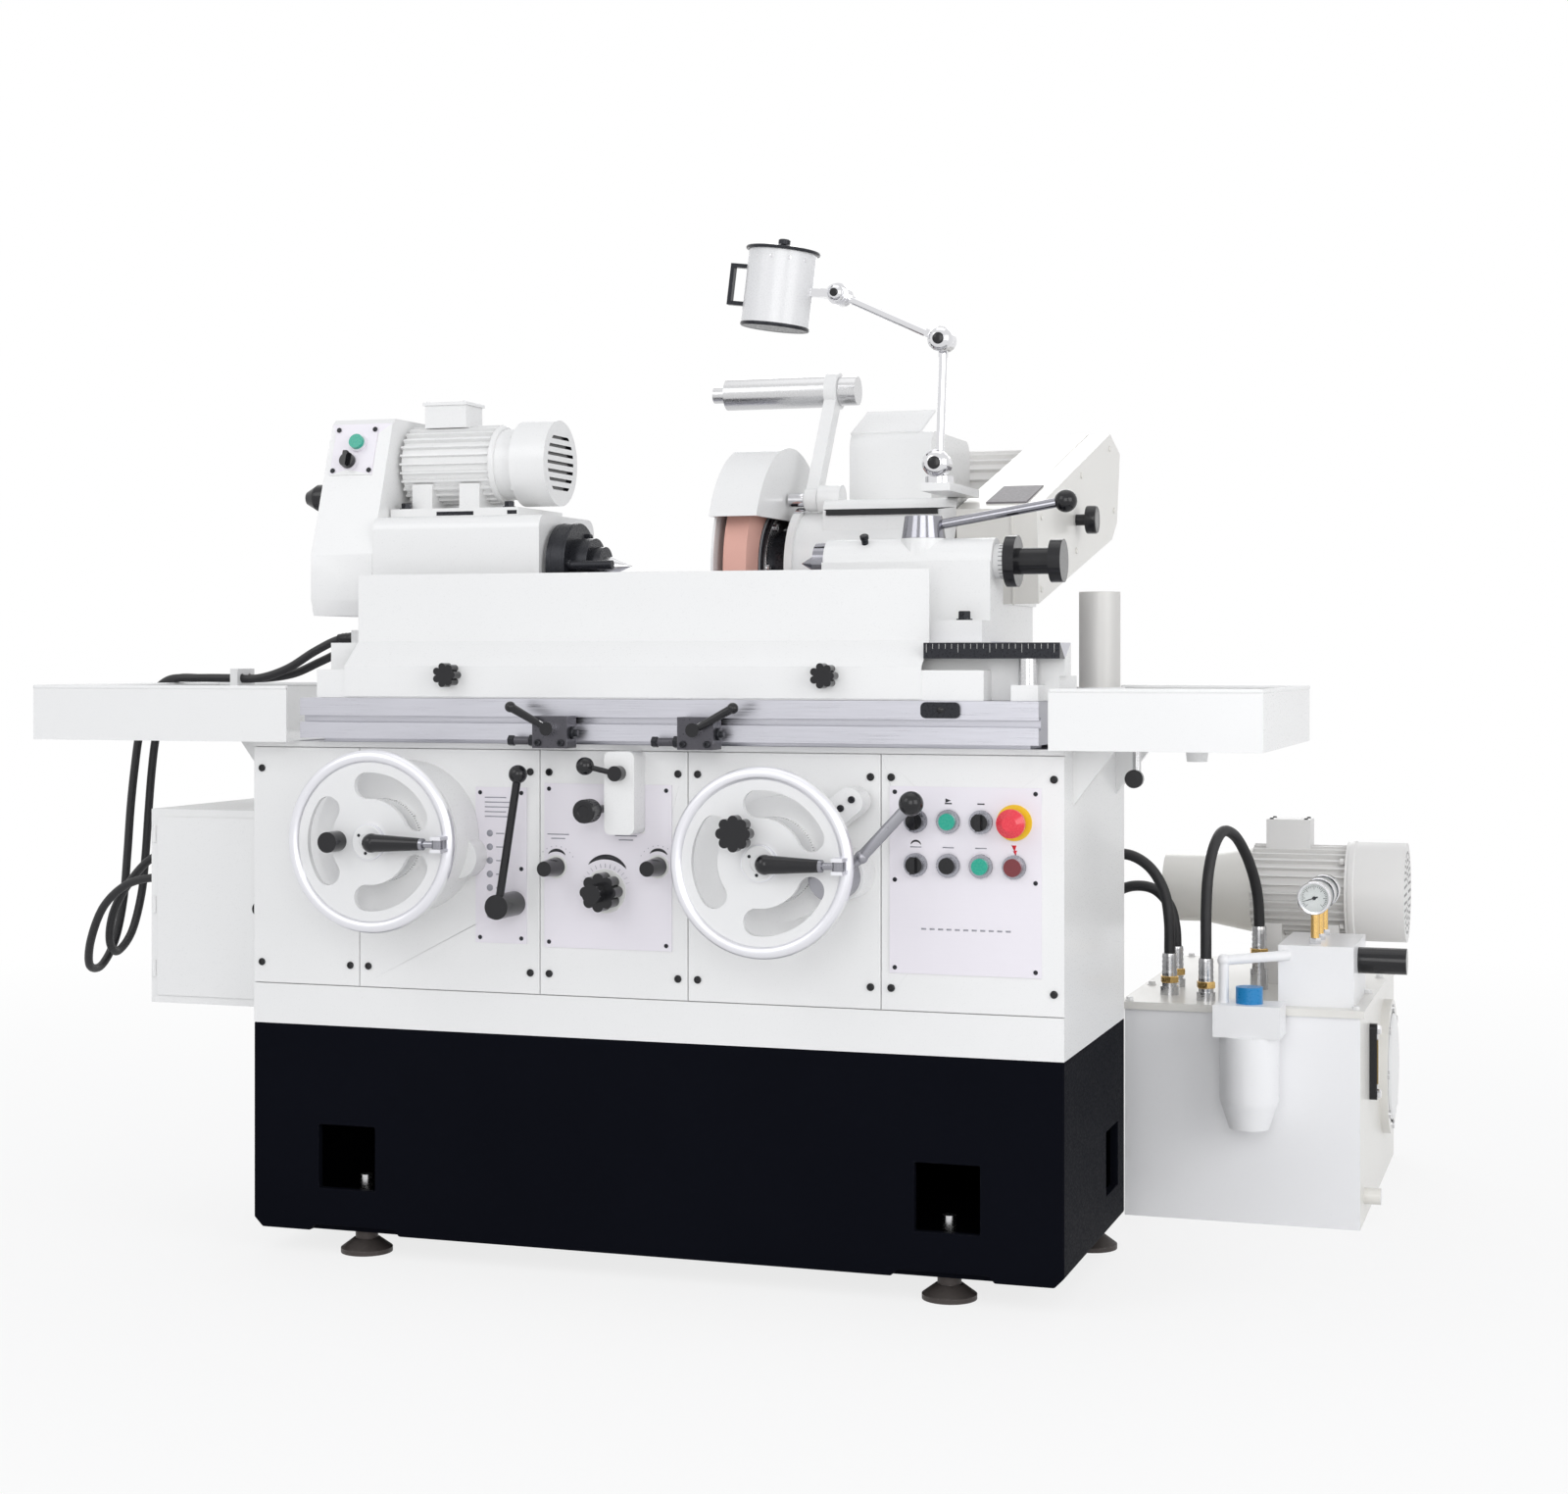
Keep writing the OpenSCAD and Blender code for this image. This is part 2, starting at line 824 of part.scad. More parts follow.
module base_plinth() color(plinth_paint) seated() {
  difference() {
    union() {
      block(-half_w, half_w, 0, base_d, foot_h, plinth_top);
      block(stem_l, stem_r, base_d - plinth_wall, base_back, foot_h, plinth_top);
    }
    block(plinth_wall - half_w, half_w - plinth_wall, plinth_wall, base_d - plinth_wall,
      foot_h + plinth_wall, plinth_top + cut);
    block(stem_l + plinth_wall, stem_r - plinth_wall, base_d - 2 * plinth_wall, base_back - plinth_wall,
      foot_h + plinth_wall, plinth_top + cut);
    for (x = pocket_x)
      block(x - pocket_w / 2, x + pocket_w / 2, -cut, plinth_wall + cut, pocket_z, pocket_z + pocket_h);
    block(half_w - plinth_wall - cut, half_w + cut, side_pocket_y - pocket_w / 2, side_pocket_y + pocket_w / 2,
      pocket_z, pocket_z + pocket_h);
    for (s = [-1, 1]) translate([s * half_w, base_d + cut, foot_h]) rotate([90, 0, 0])
      linear_extrude(base_d + 2 * cut) rotate(45) square(plinth_chamfer * sqrt(2), center = true);
    for (x = foot_x) translate([x, plinth_wall, foot_h]) rotate([90, 0, 0])
      linear_extrude(plinth_wall + cut)
        polygon([[-notch_w / 2, -cut], [notch_w / 2, -cut], [notch_w / 2 - notch_h, notch_h],
          [notch_h - notch_w / 2, notch_h]]);
    for (p = foot_places)
      rod_z(foot_screw_d + 2 * gap, foot_h - cut, foot_h + plinth_wall + cut, p[0], p[1]);
  }
}

module levelling_feet() color("dimgray") seated() {
  for (p = foot_places) {
    rod_z(foot_d, 0, foot_rim_h / 2, p[0], p[1]);
    translate([p[0], p[1], foot_rim_h / 2])
      cylinder(d1 = foot_d, d2 = foot_neck_d, h = foot_rim_h);
    rod_z(foot_nut_d, foot_rim_h * 1.5, foot_h, p[0], p[1]);
    rod_z(foot_screw_d, foot_h, foot_h + plinth_wall + foot_screw_h, p[0], p[1]);
    translate([p[0], p[1], foot_h + plinth_wall]) cylinder(d = foot_nut_d, h = foot_nut_h, $fn = 6);
  }
}

// The cover edges, left to right
cover_edges = concat([-half_w], seams, [half_w]);

module bed_casting() color(paint) seated() {
  inner_y = cover_t + bed_wall;
  difference() {
    union() {
      block(-half_w, half_w, 0, base_d, plinth_top, bed_top);
      block(stem_l, stem_r, base_d - bed_wall, base_back, plinth_top, bed_top);
      for (y = way_rows) block(table_x - way_l / 2, table_x + way_l / 2, y, y + way_w, bed_top, bed_top + way_h);
      for (x = head_way_x)
        block(x, x + head_way_w, head_way_y[0], head_way_y[1], bed_top, bed_top + head_way_h);
    }
    block(-half_w - cut, half_w + cut, -cut, cover_t, cover_z, cover_top);
    block(bed_wall - half_w, half_w - bed_wall, inner_y, base_d - bed_wall,
      plinth_top - cut, bed_top - 2 * bed_wall);
    block(stem_l + bed_wall, stem_r - bed_wall, base_d - 2 * bed_wall, base_back - bed_wall,
      plinth_top - cut, bed_top - 2 * bed_wall);
    for (i = [0:len(seams)])
      block(cover_edges[i] + bed_lip, cover_edges[i + 1] - bed_lip, -cut, inner_y + cut,
        cover_z + bed_lip, cover_top - bed_lip);
    shaft_holes(0, inner_y, gap);
    for (i = [0, 1]) rod_x(fitting_d, stem_r - bed_wall - cut, stem_r + cut, wall_ports[i][0], wall_ports[i][1]);
  }
  for (i = [0, 1])
    difference() {
      rod_x(fitting_hex_d, stem_r - bed_wall, stem_r + wall_fitting_l, wall_ports[i][0], wall_ports[i][1]);
      rod_x(hose_d / 2, stem_r - bed_wall - cut, stem_r, wall_ports[i][0], wall_ports[i][1]);
    }
  for (s = [-1, 1], y = rib_rows) translate([s * half_w, y + rib_t, bed_top]) rotate([90, 0, 0])
    linear_extrude(rib_t) polygon([[0, 0], [s * side_rib_w, 0], [0, -side_rib_h]]);
}

module front_covers() color(paint) seated() difference() {
  for (i = [0:len(seams)])
    block(cover_edges[i] + (i > 0 ? cover_gap / 2 : 0),
      cover_edges[i + 1] - (i < len(seams) ? cover_gap / 2 : 0),
      0, cover_t, cover_z + cover_gap, cover_top - cover_gap);
  shaft_holes(0, cover_t, gap);
}

module cover_screws() color(black) seated() {
  for (x = seams, s = [-1, 1], z = screw_rows) screw_head(x + s * seam_screw, z);
  for (s = [-1, 1], z = screw_rows) screw_head(s * (half_w - screw_edge), z);
  rod_y(reverse_knob_d, -reverse_out, -bracket_out, reverse_x, reverse_z);
  rod_y(shaft_d, -bracket_out, 0, reverse_x, reverse_z);
}

module screw_head(x, z) {
  translate([x, 0, z]) rotate([90, 0, 0]) cylinder(d1 = screw_d, d2 = screw_d - screw_h, h = screw_h);
}

module plate_on_front(p) block(p[0], p[2], -plate_t, 0, p[1], p[3]);

module panel_plates() color("silver") seated() {
  difference() {
    union() {
      for (p = [lever_plate, control_plate, operator_plate]) plate_on_front(p);
      for (p = concat(button_places, selector_places, [pilot_place]))
        rod_y(bezel_d, -plate_t - bezel_h, -plate_t, p[0], p[1]);
      rod_y(stop_ring_d, -plate_t - stop_ring_h, -plate_t, stop_place[0], stop_place[1]);
      rod_y(speed_boss_d, -plate_t - scale_ring_h, -plate_t, speed_x, speed_z);
      for (i = [0, 1]) rod_y(dwell_d + 2 * mark_w, -plate_t - scale_ring_h, -plate_t, dwell_x[i], dwell_z[i]);
    }
    for (s = front_shafts) rod_y(s[2] + 2 * play, -plate_t - bezel_h - cut, cut, s[0], s[1]);
    rod_y(drum_d[0] + 2 * gap, -plate_t - cut, cut, wheels[0][0], wheels[0][1]);
    rod_y(lug_d + 2 * gap, -plate_t - cut, cut, wheels[0][0] + lug_at[0], wheels[0][1] + lug_at[1]);
    for (p = button_places) rod_y(bezel_bore, -plate_t - bezel_h - cut, -plate_t, p[0], p[1]);
    block(bracket_x[0] - gap, bracket_x[1] + gap, -plate_t - cut, cut,
      bracket_z[0] - gap, bracket_z[1] + gap);
    rod_y(shaft_d + 2 * gap, -plate_t - cut, cut, reverse_x, reverse_z);
  }
  rod_y(lamp_lens_d, -plate_t - bezel_h - lamp_lens_h, -plate_t - bezel_h, pilot_place[0], pilot_place[1]);
  for (p = [lever_plate, operator_plate, control_plate])
    for (x = [p[0] + small_inset, p[2] - small_inset], z = [p[1] + small_inset, p[3] - small_inset])
      rod_y(small_screw_d, -plate_t - small_screw_h, -plate_t, x, z);
  for (s = [[lever_plate[2], -1], [operator_plate[0], 1], [operator_plate[2], -1]])
    rod_y(small_screw_d, -plate_t - small_screw_h, -plate_t, s[0] + s[1] * small_inset,
      (operator_plate[1] + operator_plate[3]) / 2);
}

cable_rows = [cable_upper[5][1], cable_lower[5][1]];
cable_rest_z = cable_upper[5][2];
module trays_and_oiler() color(paint) seated() {
  top = bed_top + tray_h;
  low = bed_top;
  y0 = tray_y[0];
  y1 = tray_y[1];
  for (s = [0, 1]) {
    x0 = tray_x[2 * s];
    x1 = tray_x[2 * s + 1];
    outer = s == 0 ? x0 : x1;
    block(x0, x1, y0, y1, low, low + sheet);
    if (s == 1) block(tray_inner_x, x1, tray_inner_y, y1, low, low + sheet);
    block(x0, x1, y0, y0 + sheet, low, top);
    block(s == 1 ? tray_inner_x : x0, x1, y1 - sheet, y1, low, top);
    block(outer - (s == 0 ? 0 : sheet), outer + (s == 0 ? sheet : 0), y0, y1, low, top);
  }
  rod_z(oiler_base_d, low + sheet, low + sheet + oiler_base_h, oiler_at[0], oiler_at[1]);
  rod_z(oiler_d, low + sheet + oiler_base_h, low + sheet + oiler_base_h + oiler_h, oiler_at[0], oiler_at[1]);
  block(post[0], post[1], post[2], post[3] + rim_d, low + sheet, low + post_h);
  difference() {
    block(clip_x - clip_w / 2, clip_x + clip_w / 2, cable_rows[0] - clip_h, cable_rows[1] + clip_h,
      low + sheet, cable_rest_z + clip_h);
    for (y = cable_rows) rod_x(cable_d + 2 * gap, clip_x - clip_w, clip_x + clip_w, y, cable_rest_z);
  }
}

module control_box() color(paint) seated() {
  x0 = -half_w - box_w;
  difference() {
    block(x0, -half_w, box_y[0], box_y[1], box_z[0], box_z[1]);
    block(x0 + sheet, -half_w - sheet, box_y[0] + sheet, box_y[1] - sheet, box_z[0] + sheet, box_z[1] - sheet);
  }
  block(x0 + door_inset, -half_w - door_inset, box_y[0] - door_t, box_y[0], box_z[0] + door_inset,
    box_z[1] - door_inset);
  for (c = [cable_upper, cable_lower])
    let(p = c[len(c) - 1]) rod_x(gland_d, p[0], x0, p[1], p[2]);
}

module handwheel_housings() color(paint) seated() {
  difference() {
    union() {
      for (i = [0, 1]) {
        rod_y(drum_d[i], -drum_out[i], 0, wheels[i][0], wheels[i][1]);
        rod_y(drum_boss_d, -drum_out[i] - drum_boss_h, -drum_out[i], wheels[i][0], wheels[i][1]);
      }
      rod_y(lug_d, -drum_out[0] / 2, 0, wheels[0][0] + lug_at[0], wheels[0][1] + lug_at[1]);
      rod_y(rapid_boss_d, -drum_out[1], 0, rapid_hub[0], rapid_hub[1]);
    }
    for (w = wheels) rod_y(wheel_shaft_d + 2 * play, -hub_out, cut, w[0], w[1]);
    rod_y(shaft_d + 2 * play, -drum_out[1] - cut, cut, rapid_hub[0], rapid_hub[1]);
  }
  difference() {
    soft_block_y(bracket_x[0], bracket_x[1], -bracket_out, 0, bracket_z[0], bracket_z[1], rim_d / 2);
    rod_y(shaft_d + 2 * play, -bracket_out - cut, cut, reverse_hub[0], reverse_hub[1]);
  }
}

// Hydraulic unit
tank_right = tank_x + tank_w;
tank_back = tank_y + tank_d;
module hydraulic_tank() color(paint) seated() {
  difference() {
    block(tank_x, tank_right, tank_y, tank_back, 0, tank_h);
    block(tank_x + tank_wall, tank_right - tank_wall, tank_y + tank_wall, tank_back - tank_wall,
      tank_wall, tank_h + cut);
  }
  block(tank_x - lid_over, tank_right + lid_over, tank_y - lid_over, tank_back + lid_over, tank_h, lid_top);
  rod_x(hatch_d, tank_right, tank_right + hatch_t, hatch_y, hatch_z);
  for (i = [0:hatch_bolts - 1]) let(a = i * 360 / hatch_bolts)
    rod_x(foot_nut_h, tank_right + hatch_t, tank_right + hatch_t + screw_h,
      hatch_y + (hatch_d / 2 - foot_nut_h) * cos(a), hatch_z + (hatch_d / 2 - foot_nut_h) * sin(a));
  soft_block_x(tank_right, tank_right + sight_t, sight_y - sight_w / 2, sight_y + sight_w / 2,
    sight_z, sight_z + sight_h, sight_w / 3);
  rod_x(drain_d, tank_right, tank_right + drain_l, drain_y, drain_z);
}

module hydraulic_motor_pump() color(paint) seated() {
  translate([pump_x[2], pump_y, pump_z]) rotate([0, 90, 0])
    finned(pump_motor_d, pump_x[3] - pump_x[2], pump_fin_h, pump_fin_t, pump_fins);
  rod_x(pump_cowl_d, pump_x[3], pump_x[4], pump_y, pump_z);
  rod_x(pump_bell_d[0], pump_x[0], pump_x[1], pump_y, pump_z);
  translate([pump_x[1], pump_y, pump_z]) rotate([0, 90, 0])
    cylinder(d1 = pump_bell_d[0], d2 = pump_bell_d[1], h = pump_x[2] - pump_x[1]);
  for (x = pump_foot_x)
    block(x, x + pump_foot_w, pump_y - pump_foot_span / 2, pump_y + pump_foot_span / 2, lid_top,
      pump_z - pump_motor_d / 3);
  block(pump_foot_x[0], pump_foot_x[0] + pump_box[1], pump_y - pump_box[0] / 2, pump_y + pump_box[0] / 2,
    pump_z + pump_motor_d / 2 - pump_fin_h, pump_z + pump_motor_d / 2 + pump_box[2]);
}

module hydraulic_manifold() color("gainsboro") seated() {
  block_top = lid_top + block_h;
  block(block_x[0], block_x[1], block_y[0], block_y[1], lid_top, block_top);
  for (y = gauge_y) {
    rod_z(gauge_rod, block_top, block_top + gauge_up - gauge_d / 2 + gauge_rod / 2, gauge_x, y);
    rod_y(gauge_d, y - gauge_t / 2, y + gauge_t / 2, gauge_x, block_top + gauge_up);
  }
  rod_x(valve_d, block_x[1], block_x[1] + valve_l, valve_y, lid_top + block_h * 0.7);
  // Filter in front of the tank, on its bracket
  block(filter_x - head_w / 2, filter_x + head_w / 2, filter_y - head_d / 2, filter_y + head_d / 2,
    head_z[0], head_z[1]);
  block(filter_x - head_d / 4, filter_x + head_d / 4, filter_y + head_d / 2, tank_y - lid_over,
    head_z[0], head_z[1]);
  translate([filter_x, filter_y, head_z[0] - bowl_h[0]]) cylinder(d = bowl_d[0], h = bowl_h[0]);
  translate([filter_x, filter_y, head_z[0] - bowl_h[0] - bowl_h[1]])
    cylinder(d1 = bowl_d[1], d2 = bowl_d[0], h = bowl_h[1]);
  rod_z(filter_cap_d, head_z[1], head_z[1] + filter_cap_h, filter_x, filter_y);
  pipe_top = head_z[1] + pipe_up;
  rod_z(pipe_d, head_z[1], pipe_top, pipe_x, filter_y);
  ball(elbow_d, [pipe_x, filter_y, pipe_top]);
  bar([pipe_x, filter_y, pipe_top], [block_x[0] + pipe_d, block_y[0] + cut, block_top - pipe_d], pipe_d);
  // Hose fittings on the lid and on the manifold
  for (p = [for (i = [0, 2, 3]) hose_ends[i]]) {
    rod_z(fitting_hex_d, lid_top, lid_top + fitting_hex_h, p[0], p[1]);
    rod_z(fitting_d, lid_top + fitting_hex_h, p[2], p[0], p[1]);
  }
  end = hose_ends[1];
  rod_z(fitting_d, lid_top + fitting_h, end[2], end[0], end[1]);
  rod_z(fitting_hex_d, lid_top, lid_top + fitting_h, end[0], end[1]);
}

module hydraulic_hoses() color(black) seated() {
  tube(hose_arch, hose_d, hose_sides);
  tube(hose_front, hose_d, hose_sides);
  tube(hose_back, hose_d, hose_sides);
}

module control_cables() color(black) seated() {
  tube(cable_upper, cable_d, cable_sides);
  tube(cable_lower, cable_d, cable_sides);
}

// Tables
module lower_table() color(steel) seated() {
  z = lower_table_z;
  g = z + groove_z;
  difference() {
    block(table_l, table_r, rail_y, rail_y + lower_table_d, z, z + lower_table_h);
    block(table_l - cut, table_r + cut, rail_y - cut, rail_y + groove_depth, g - groove_mouth / 2, g + groove_mouth / 2);
    block(table_l - cut, table_r + cut, rail_y + groove_lip, rail_y + groove_depth, g - groove_in / 2, g + groove_in / 2);
  }
  soft_block_y(table_x + rail_pad[0], table_x + rail_pad[0] + pad_w, rail_y - rail_pad[2], rail_y,
    z + dog_up + gap, z + dog_up + gap + rail_pad[1], rail_pad[1] / 3);
  rod_z(pivot_d, z + lower_table_h, z + lower_table_h + pivot_h, pivot[0], pivot[1]);
}

module dog(x, side) {
  z = lower_table_z;
  g = z + groove_z;
  front = rail_y - gap - dog_t;
  back = rail_y - gap;
  block(x - dog_w / 2, x + dog_w / 2, front, back, z - dog_low, z + dog_up);
  block(x - dog_w / 4, x + dog_w / 4, back, rail_y + groove_lip + tee_gap,
    g - groove_mouth / 2 + tee_gap, g + groove_mouth / 2 - tee_gap);
  block(x - dog_w / 4, x + dog_w / 4, rail_y + groove_lip + tee_gap, rail_y + groove_depth - tee_gap,
    g - groove_in / 2 + tee_gap, g + groove_in / 2 - tee_gap);
  rod_x(dog_finger_h, x - dog_w / 2 - dog_finger_l, x - dog_w / 2, (front + back) / 2, z);
  rod_y(dog_nut_d, front - dog_nut_h, front, x, z + dog_up / 2);
  translate([x, front - dog_nut_h / 2, z + dog_up / 2]) rotate([0, side * (90 - dog_handle_turn), 0]) {
    cylinder(d1 = dog_handle_d, d2 = dog_grip_d, h = dog_handle_l);
    translate([0, 0, dog_handle_l]) sphere(d = dog_grip_d + mark_w);
  }
}
module dog_left() color("dimgray") seated() dog(dog_x[0], -1);
module dog_right() color("dimgray") seated() dog(dog_x[1], 1);

module upper_table() color(paint) seated() {
  z = upper_table_z;
  difference() {
    union() {
      block(upper_l, upper_r, upper_y, upper_back, z, table_top);
      block(upper_l, upper_r, ledge_y, upper_y, z, z + ledge_h);
    }
    block(upper_l - cut, upper_r + cut, top_slot_y - top_slot_w / 2, top_slot_y + top_slot_w / 2,
      table_top - top_slot_d, table_top + cut);
    rod_z(pivot_d + 2 * play, z - cut, z + pivot_h, pivot[0], pivot[1]);
  }
  block(upper_r, upper_r + end_block_w, upper_y, upper_y + end_block_d, z, z + end_block_h);
  block(scale_bar[0], scale_bar[1], scale_bar[2], upper_y, table_top - scale_bar_drop - scale_bar_h,
    table_top - scale_bar_drop);
  block(upper_r, scale_bar[1], upper_y, upper_y + end_block_d / 3, z + end_block_h, table_top - scale_bar_drop);
  block(upper_r + adjust_block_w, upper_r + 2 * adjust_block_w, ledge_y, upper_y, z, z + adjust_block_h);
  rod_z(adjust_d, z + adjust_block_h, table_top - scale_bar_drop - scale_bar_h, upper_r + 1.5 * adjust_block_w,
    (ledge_y + upper_y) / 2);
}

module splash_guard() color(paint) seated() {
  low = upper_table_z + sheet;
  bend = upper_table_z + guard_lip_z;
  x0 = guard_x[0];
  width = guard_x[1] - guard_x[0];
  translate([x0, 0, 0]) rotate([90, 0, 90]) linear_extrude(width) polygon([
    [guard_lip_y, low], [ledge_y, low], [ledge_y, bend], [upper_y, table_top], [upper_y, table_top + guard_h],
    [upper_y - sheet, table_top + guard_h], [upper_y - sheet, table_top + cut], [guard_lip_y, bend + cut]
  ]);
  for (x = guard_knob_x) translate([x, guard_lip_y, upper_table_z + guard_knob_z]) rotate([90, 0, 0])
    lobed(guard_knob_d, guard_knob_h, guard_knob_lobes);
}

// Workhead
live_wall_x = workhead_l + live_back_wall;
plate_l = workhead_r + work_nose_h + plate_gap;
plate_r = plate_l + plate_rim_t + plate_step_t + plate_nose_t;
guard_l = workhead_l - belt_guard_w;
seat_z = work_z + work_body_top;
lean_at = [
  belt_guard_y + (panel_up_share - lean_start_share) / lean_rise_share * lean_run_share * belt_guard_d,
  belt_guard_z + panel_up_share * belt_guard_h
];
module on_panel(off) {
  translate([guard_l + belt_guard_w / 2 + panel_off, lean_at[0], lean_at[1]])
    rotate([90 - lean, 0, 0]) translate([off[0], off[1], 0]) children();
}
module belt_guard(x0, x1, inset) {
  translate([x0, belt_guard_y + inset, belt_guard_z + inset]) rotate([90, 0, 90]) linear_extrude(x1 - x0)
    polygon([for (s = belt_guard_shares)
      [s[0] * (belt_guard_d - 2 * inset), s[1] * (belt_guard_h - 2 * inset)]]);
}

module workhead_base() color("gainsboro") seated() {
  block(workhead_l, workhead_r, work_base_y[0], work_base_y[1], table_top, table_top + work_base_h);
  rod_z(work_disc_d, table_top + work_base_h, table_top + work_base_h + work_disc_h, workhead_turn_x, work_y);
}

module workhead_housing() color(paint) seated() {
  difference() {
    union() {
      soft_block_x(workhead_l, workhead_r, work_body_y[0], work_body_y[1], work_body_z,
        work_z + work_body_top, work_body_r);
      rod_x(work_nose_d, workhead_r, workhead_r + work_nose_h, work_y, work_z);
    }
    rod_x(work_spindle_d + 2 * play, live_wall_x, workhead_r + work_nose_h + cut, work_y, work_z);
  }
  difference() {
    union() {
      belt_guard(guard_l, workhead_l, 0);
      on_panel([-panel_w / 2, -panel_h / 2]) cube([panel_w, panel_h, panel_t]);
      on_panel(work_button_off) cylinder(d = work_bezel_d, h = panel_t + bezel_h);
      on_panel(work_selector_off) cylinder(d = work_bezel_d, h = panel_t + scale_ring_h);
    }
    belt_guard(guard_l + belt_wall, workhead_l - belt_wall, belt_wall);
    on_panel(work_button_off) translate([0, 0, panel_t]) cylinder(d = bezel_bore, h = bezel_h + cut);
    on_panel(work_button_off) translate([0, 0, -shaft_in])
      cylinder(d = shaft_d + 2 * gap, h = shaft_in + bezel_h + cut);
    on_panel(work_selector_off) translate([0, 0, -shaft_in])
      cylinder(d = shaft_d + 2 * play, h = shaft_in + bezel_h + cut);
  }
  rod_x(dome_d, guard_l - dome_h / 2, guard_l, dome_y, belt_guard_z + dome_z);
  translate([guard_l - dome_h / 2, dome_y, belt_guard_z + dome_z]) rotate([0, -90, 0])
    cylinder(d1 = dome_d, d2 = dome_d / 2, h = dome_h / 2);
}

module workhead_motor() color(paint) seated() {
  block(seat_x[0], seat_x[1], seat_y[0], seat_y[1], seat_z,
    seat_z + seat_h);
  translate([drive_x[0], drive_y, drive_z]) rotate([0, 90, 0])
    finned(drive_d, drive_x[1] - drive_x[0], motor_fin_h, motor_fin_t, motor_fins);
  rod_x(drive_d - 2 * motor_fin_h, drive_x[1], drive_x[2], drive_y, drive_z);
  difference() {
    rod_x(drive_d + motor_cowl_over, drive_x[2], drive_x[3], drive_y, drive_z);
    intersection() {
      rod_x(vent_d, drive_x[3] - vent_w, drive_x[3] + cut, drive_y, drive_z);
      for (i = [0:vent_rows - 1]) let(z = drive_z + (i - (vent_rows - 1) / 2) * 2.6 * vent_w)
        block(drive_x[2], drive_x[3] + cut, drive_y - vent_d, drive_y + vent_d,
          z - vent_w / 2, z + vent_w / 2);
    }
  }
  for (x = [drive_x[0] + foot_w / 2, drive_x[1] - 1.5 * foot_w])
    block(x, x + foot_w, drive_y - foot_span / 2, drive_y + foot_span / 2,
      seat_z + seat_h, drive_z - drive_d / 4);
}

module driving_plate() color("lightgray") seated() {
  difference() {
    union() {
      rod_x(work_spindle_d, live_wall_x + gap, plate_l, work_y, work_z);
      rod_x(plate_d, plate_l, plate_l + plate_rim_t, work_y, work_z);
      rod_x(plate_step_d, plate_l + plate_rim_t, plate_l + plate_rim_t + plate_step_t, work_y, work_z);
      rod_x(plate_nose_d, plate_l + plate_rim_t + plate_step_t, plate_r, work_y, work_z);
      rod_x(drive_pin_d, plate_l + plate_rim_t, plate_l + plate_rim_t + plate_step_t + drive_pin_l,
        work_y - drive_pin_r - drive_pin_d, work_z);
    }
    rod_x(centre_shank_d + 2 * gap, live_wall_x, plate_r + cut, work_y, work_z);
  }
}

module work_centre() color("lightgray") seated() {
  rod_x(centre_shank_d, live_wall_x, work_tip_x - centre_point_l, work_y, work_z);
  translate([work_tip_x - centre_point_l, work_y, work_z]) rotate([0, 90, 0])
    cylinder(d1 = centre_shank_d, d2 = 0, h = centre_point_l);
}

module push_button(d, stem, back) {
  translate([0, 0, button_travel + button_gap]) cylinder(d = d, h = button_out - button_travel);
  translate([0, 0, -back]) cylinder(d = stem, h = back + button_travel + button_gap);
}
module selector(d, back) {
  cylinder(d = d, h = selector_out / 2);
  translate([-selector_handle_w / 2, -d / 2, selector_out / 2])
    cube([selector_handle_w, d, selector_out / 2]);
  translate([0, 0, -back]) cylinder(d = shaft_d, h = back);
}

module workhead_button() color("mediumseagreen") seated()
  on_panel(work_button_off) translate([0, 0, panel_t]) push_button(button_d, shaft_d, shaft_in / 2);
module workhead_selector() color(black) seated()
  on_panel(work_selector_off) translate([0, 0, panel_t + scale_ring_h + gap])
    selector(selector_d, shaft_in / 2);

// Tailstock
tail_r = tail_x + tailstock_len;
quill_l = tail_tip_x + tail_cone_l;
quill_r = quill_l + quill_len;
spool_l = tail_r + spool_gap + spool_boss_h;

module tailstock_body() color(paint) seated() {
  difference() {
    union() {
      block(tail_x, tail_r, tail_y[0], tail_y[1], table_top + tail_foot_h, work_z);
      rod_x(tail_round_d, tail_x, tail_r, work_y, work_z);
      block(tail_x - tail_foot_x, tail_r, tail_foot_y[0], tail_foot_y[1], table_top, table_top + tail_foot_h);
      rod_z(tail_pad_d, work_z, work_z + tail_hub_z, tail_hub_x, work_y);
      rod_x(spool_boss_d, tail_r, tail_r + spool_boss_h, work_y, work_z);
    }
    rod_x(quill_d + 2 * play, tail_x - cut, quill_r + quill_out + cut, work_y, work_z);
    rod_x(spool_stem_d + 2 * play, tail_r - spool_stem_l - cut, spool_l, work_y, work_z);
    rod_z(tail_stem_d + 2 * play, work_z + tail_hub_z - tail_stem_l - gap, work_z + tail_hub_z + cut,
      tail_hub_x, work_y);
  }
}

module tailstock_quill() color("lightgray") seated() {
  rod_x(quill_d, quill_l, quill_r, work_y, work_z);
  translate([tail_tip_x, work_y, work_z]) rotate([0, 90, 0]) cylinder(d1 = 0, d2 = tail_cone_d, h = tail_cone_l);
}

module tailstock_lever() color(black) seated() {
  z = work_z + tail_hub_z;
  rod_z(tail_stem_d, z - tail_stem_l, z + gap, tail_hub_x, work_y);
  translate([tail_hub_x, work_y, z + gap]) cylinder(d1 = tail_hub_d[0], d2 = tail_hub_d[1], h = tail_hub_h);
  tip = [tail_hub_x + tail_lever_len * cos(tail_lever_turn), work_y + tail_lever_len * sin(tail_lever_turn),
    z + tail_hub_h / 2 + tail_lever_rise];
  bar([tail_hub_x, work_y, z + tail_hub_h / 2], tip, tail_lever_d);
  ball(tail_ball_d, tip);
}

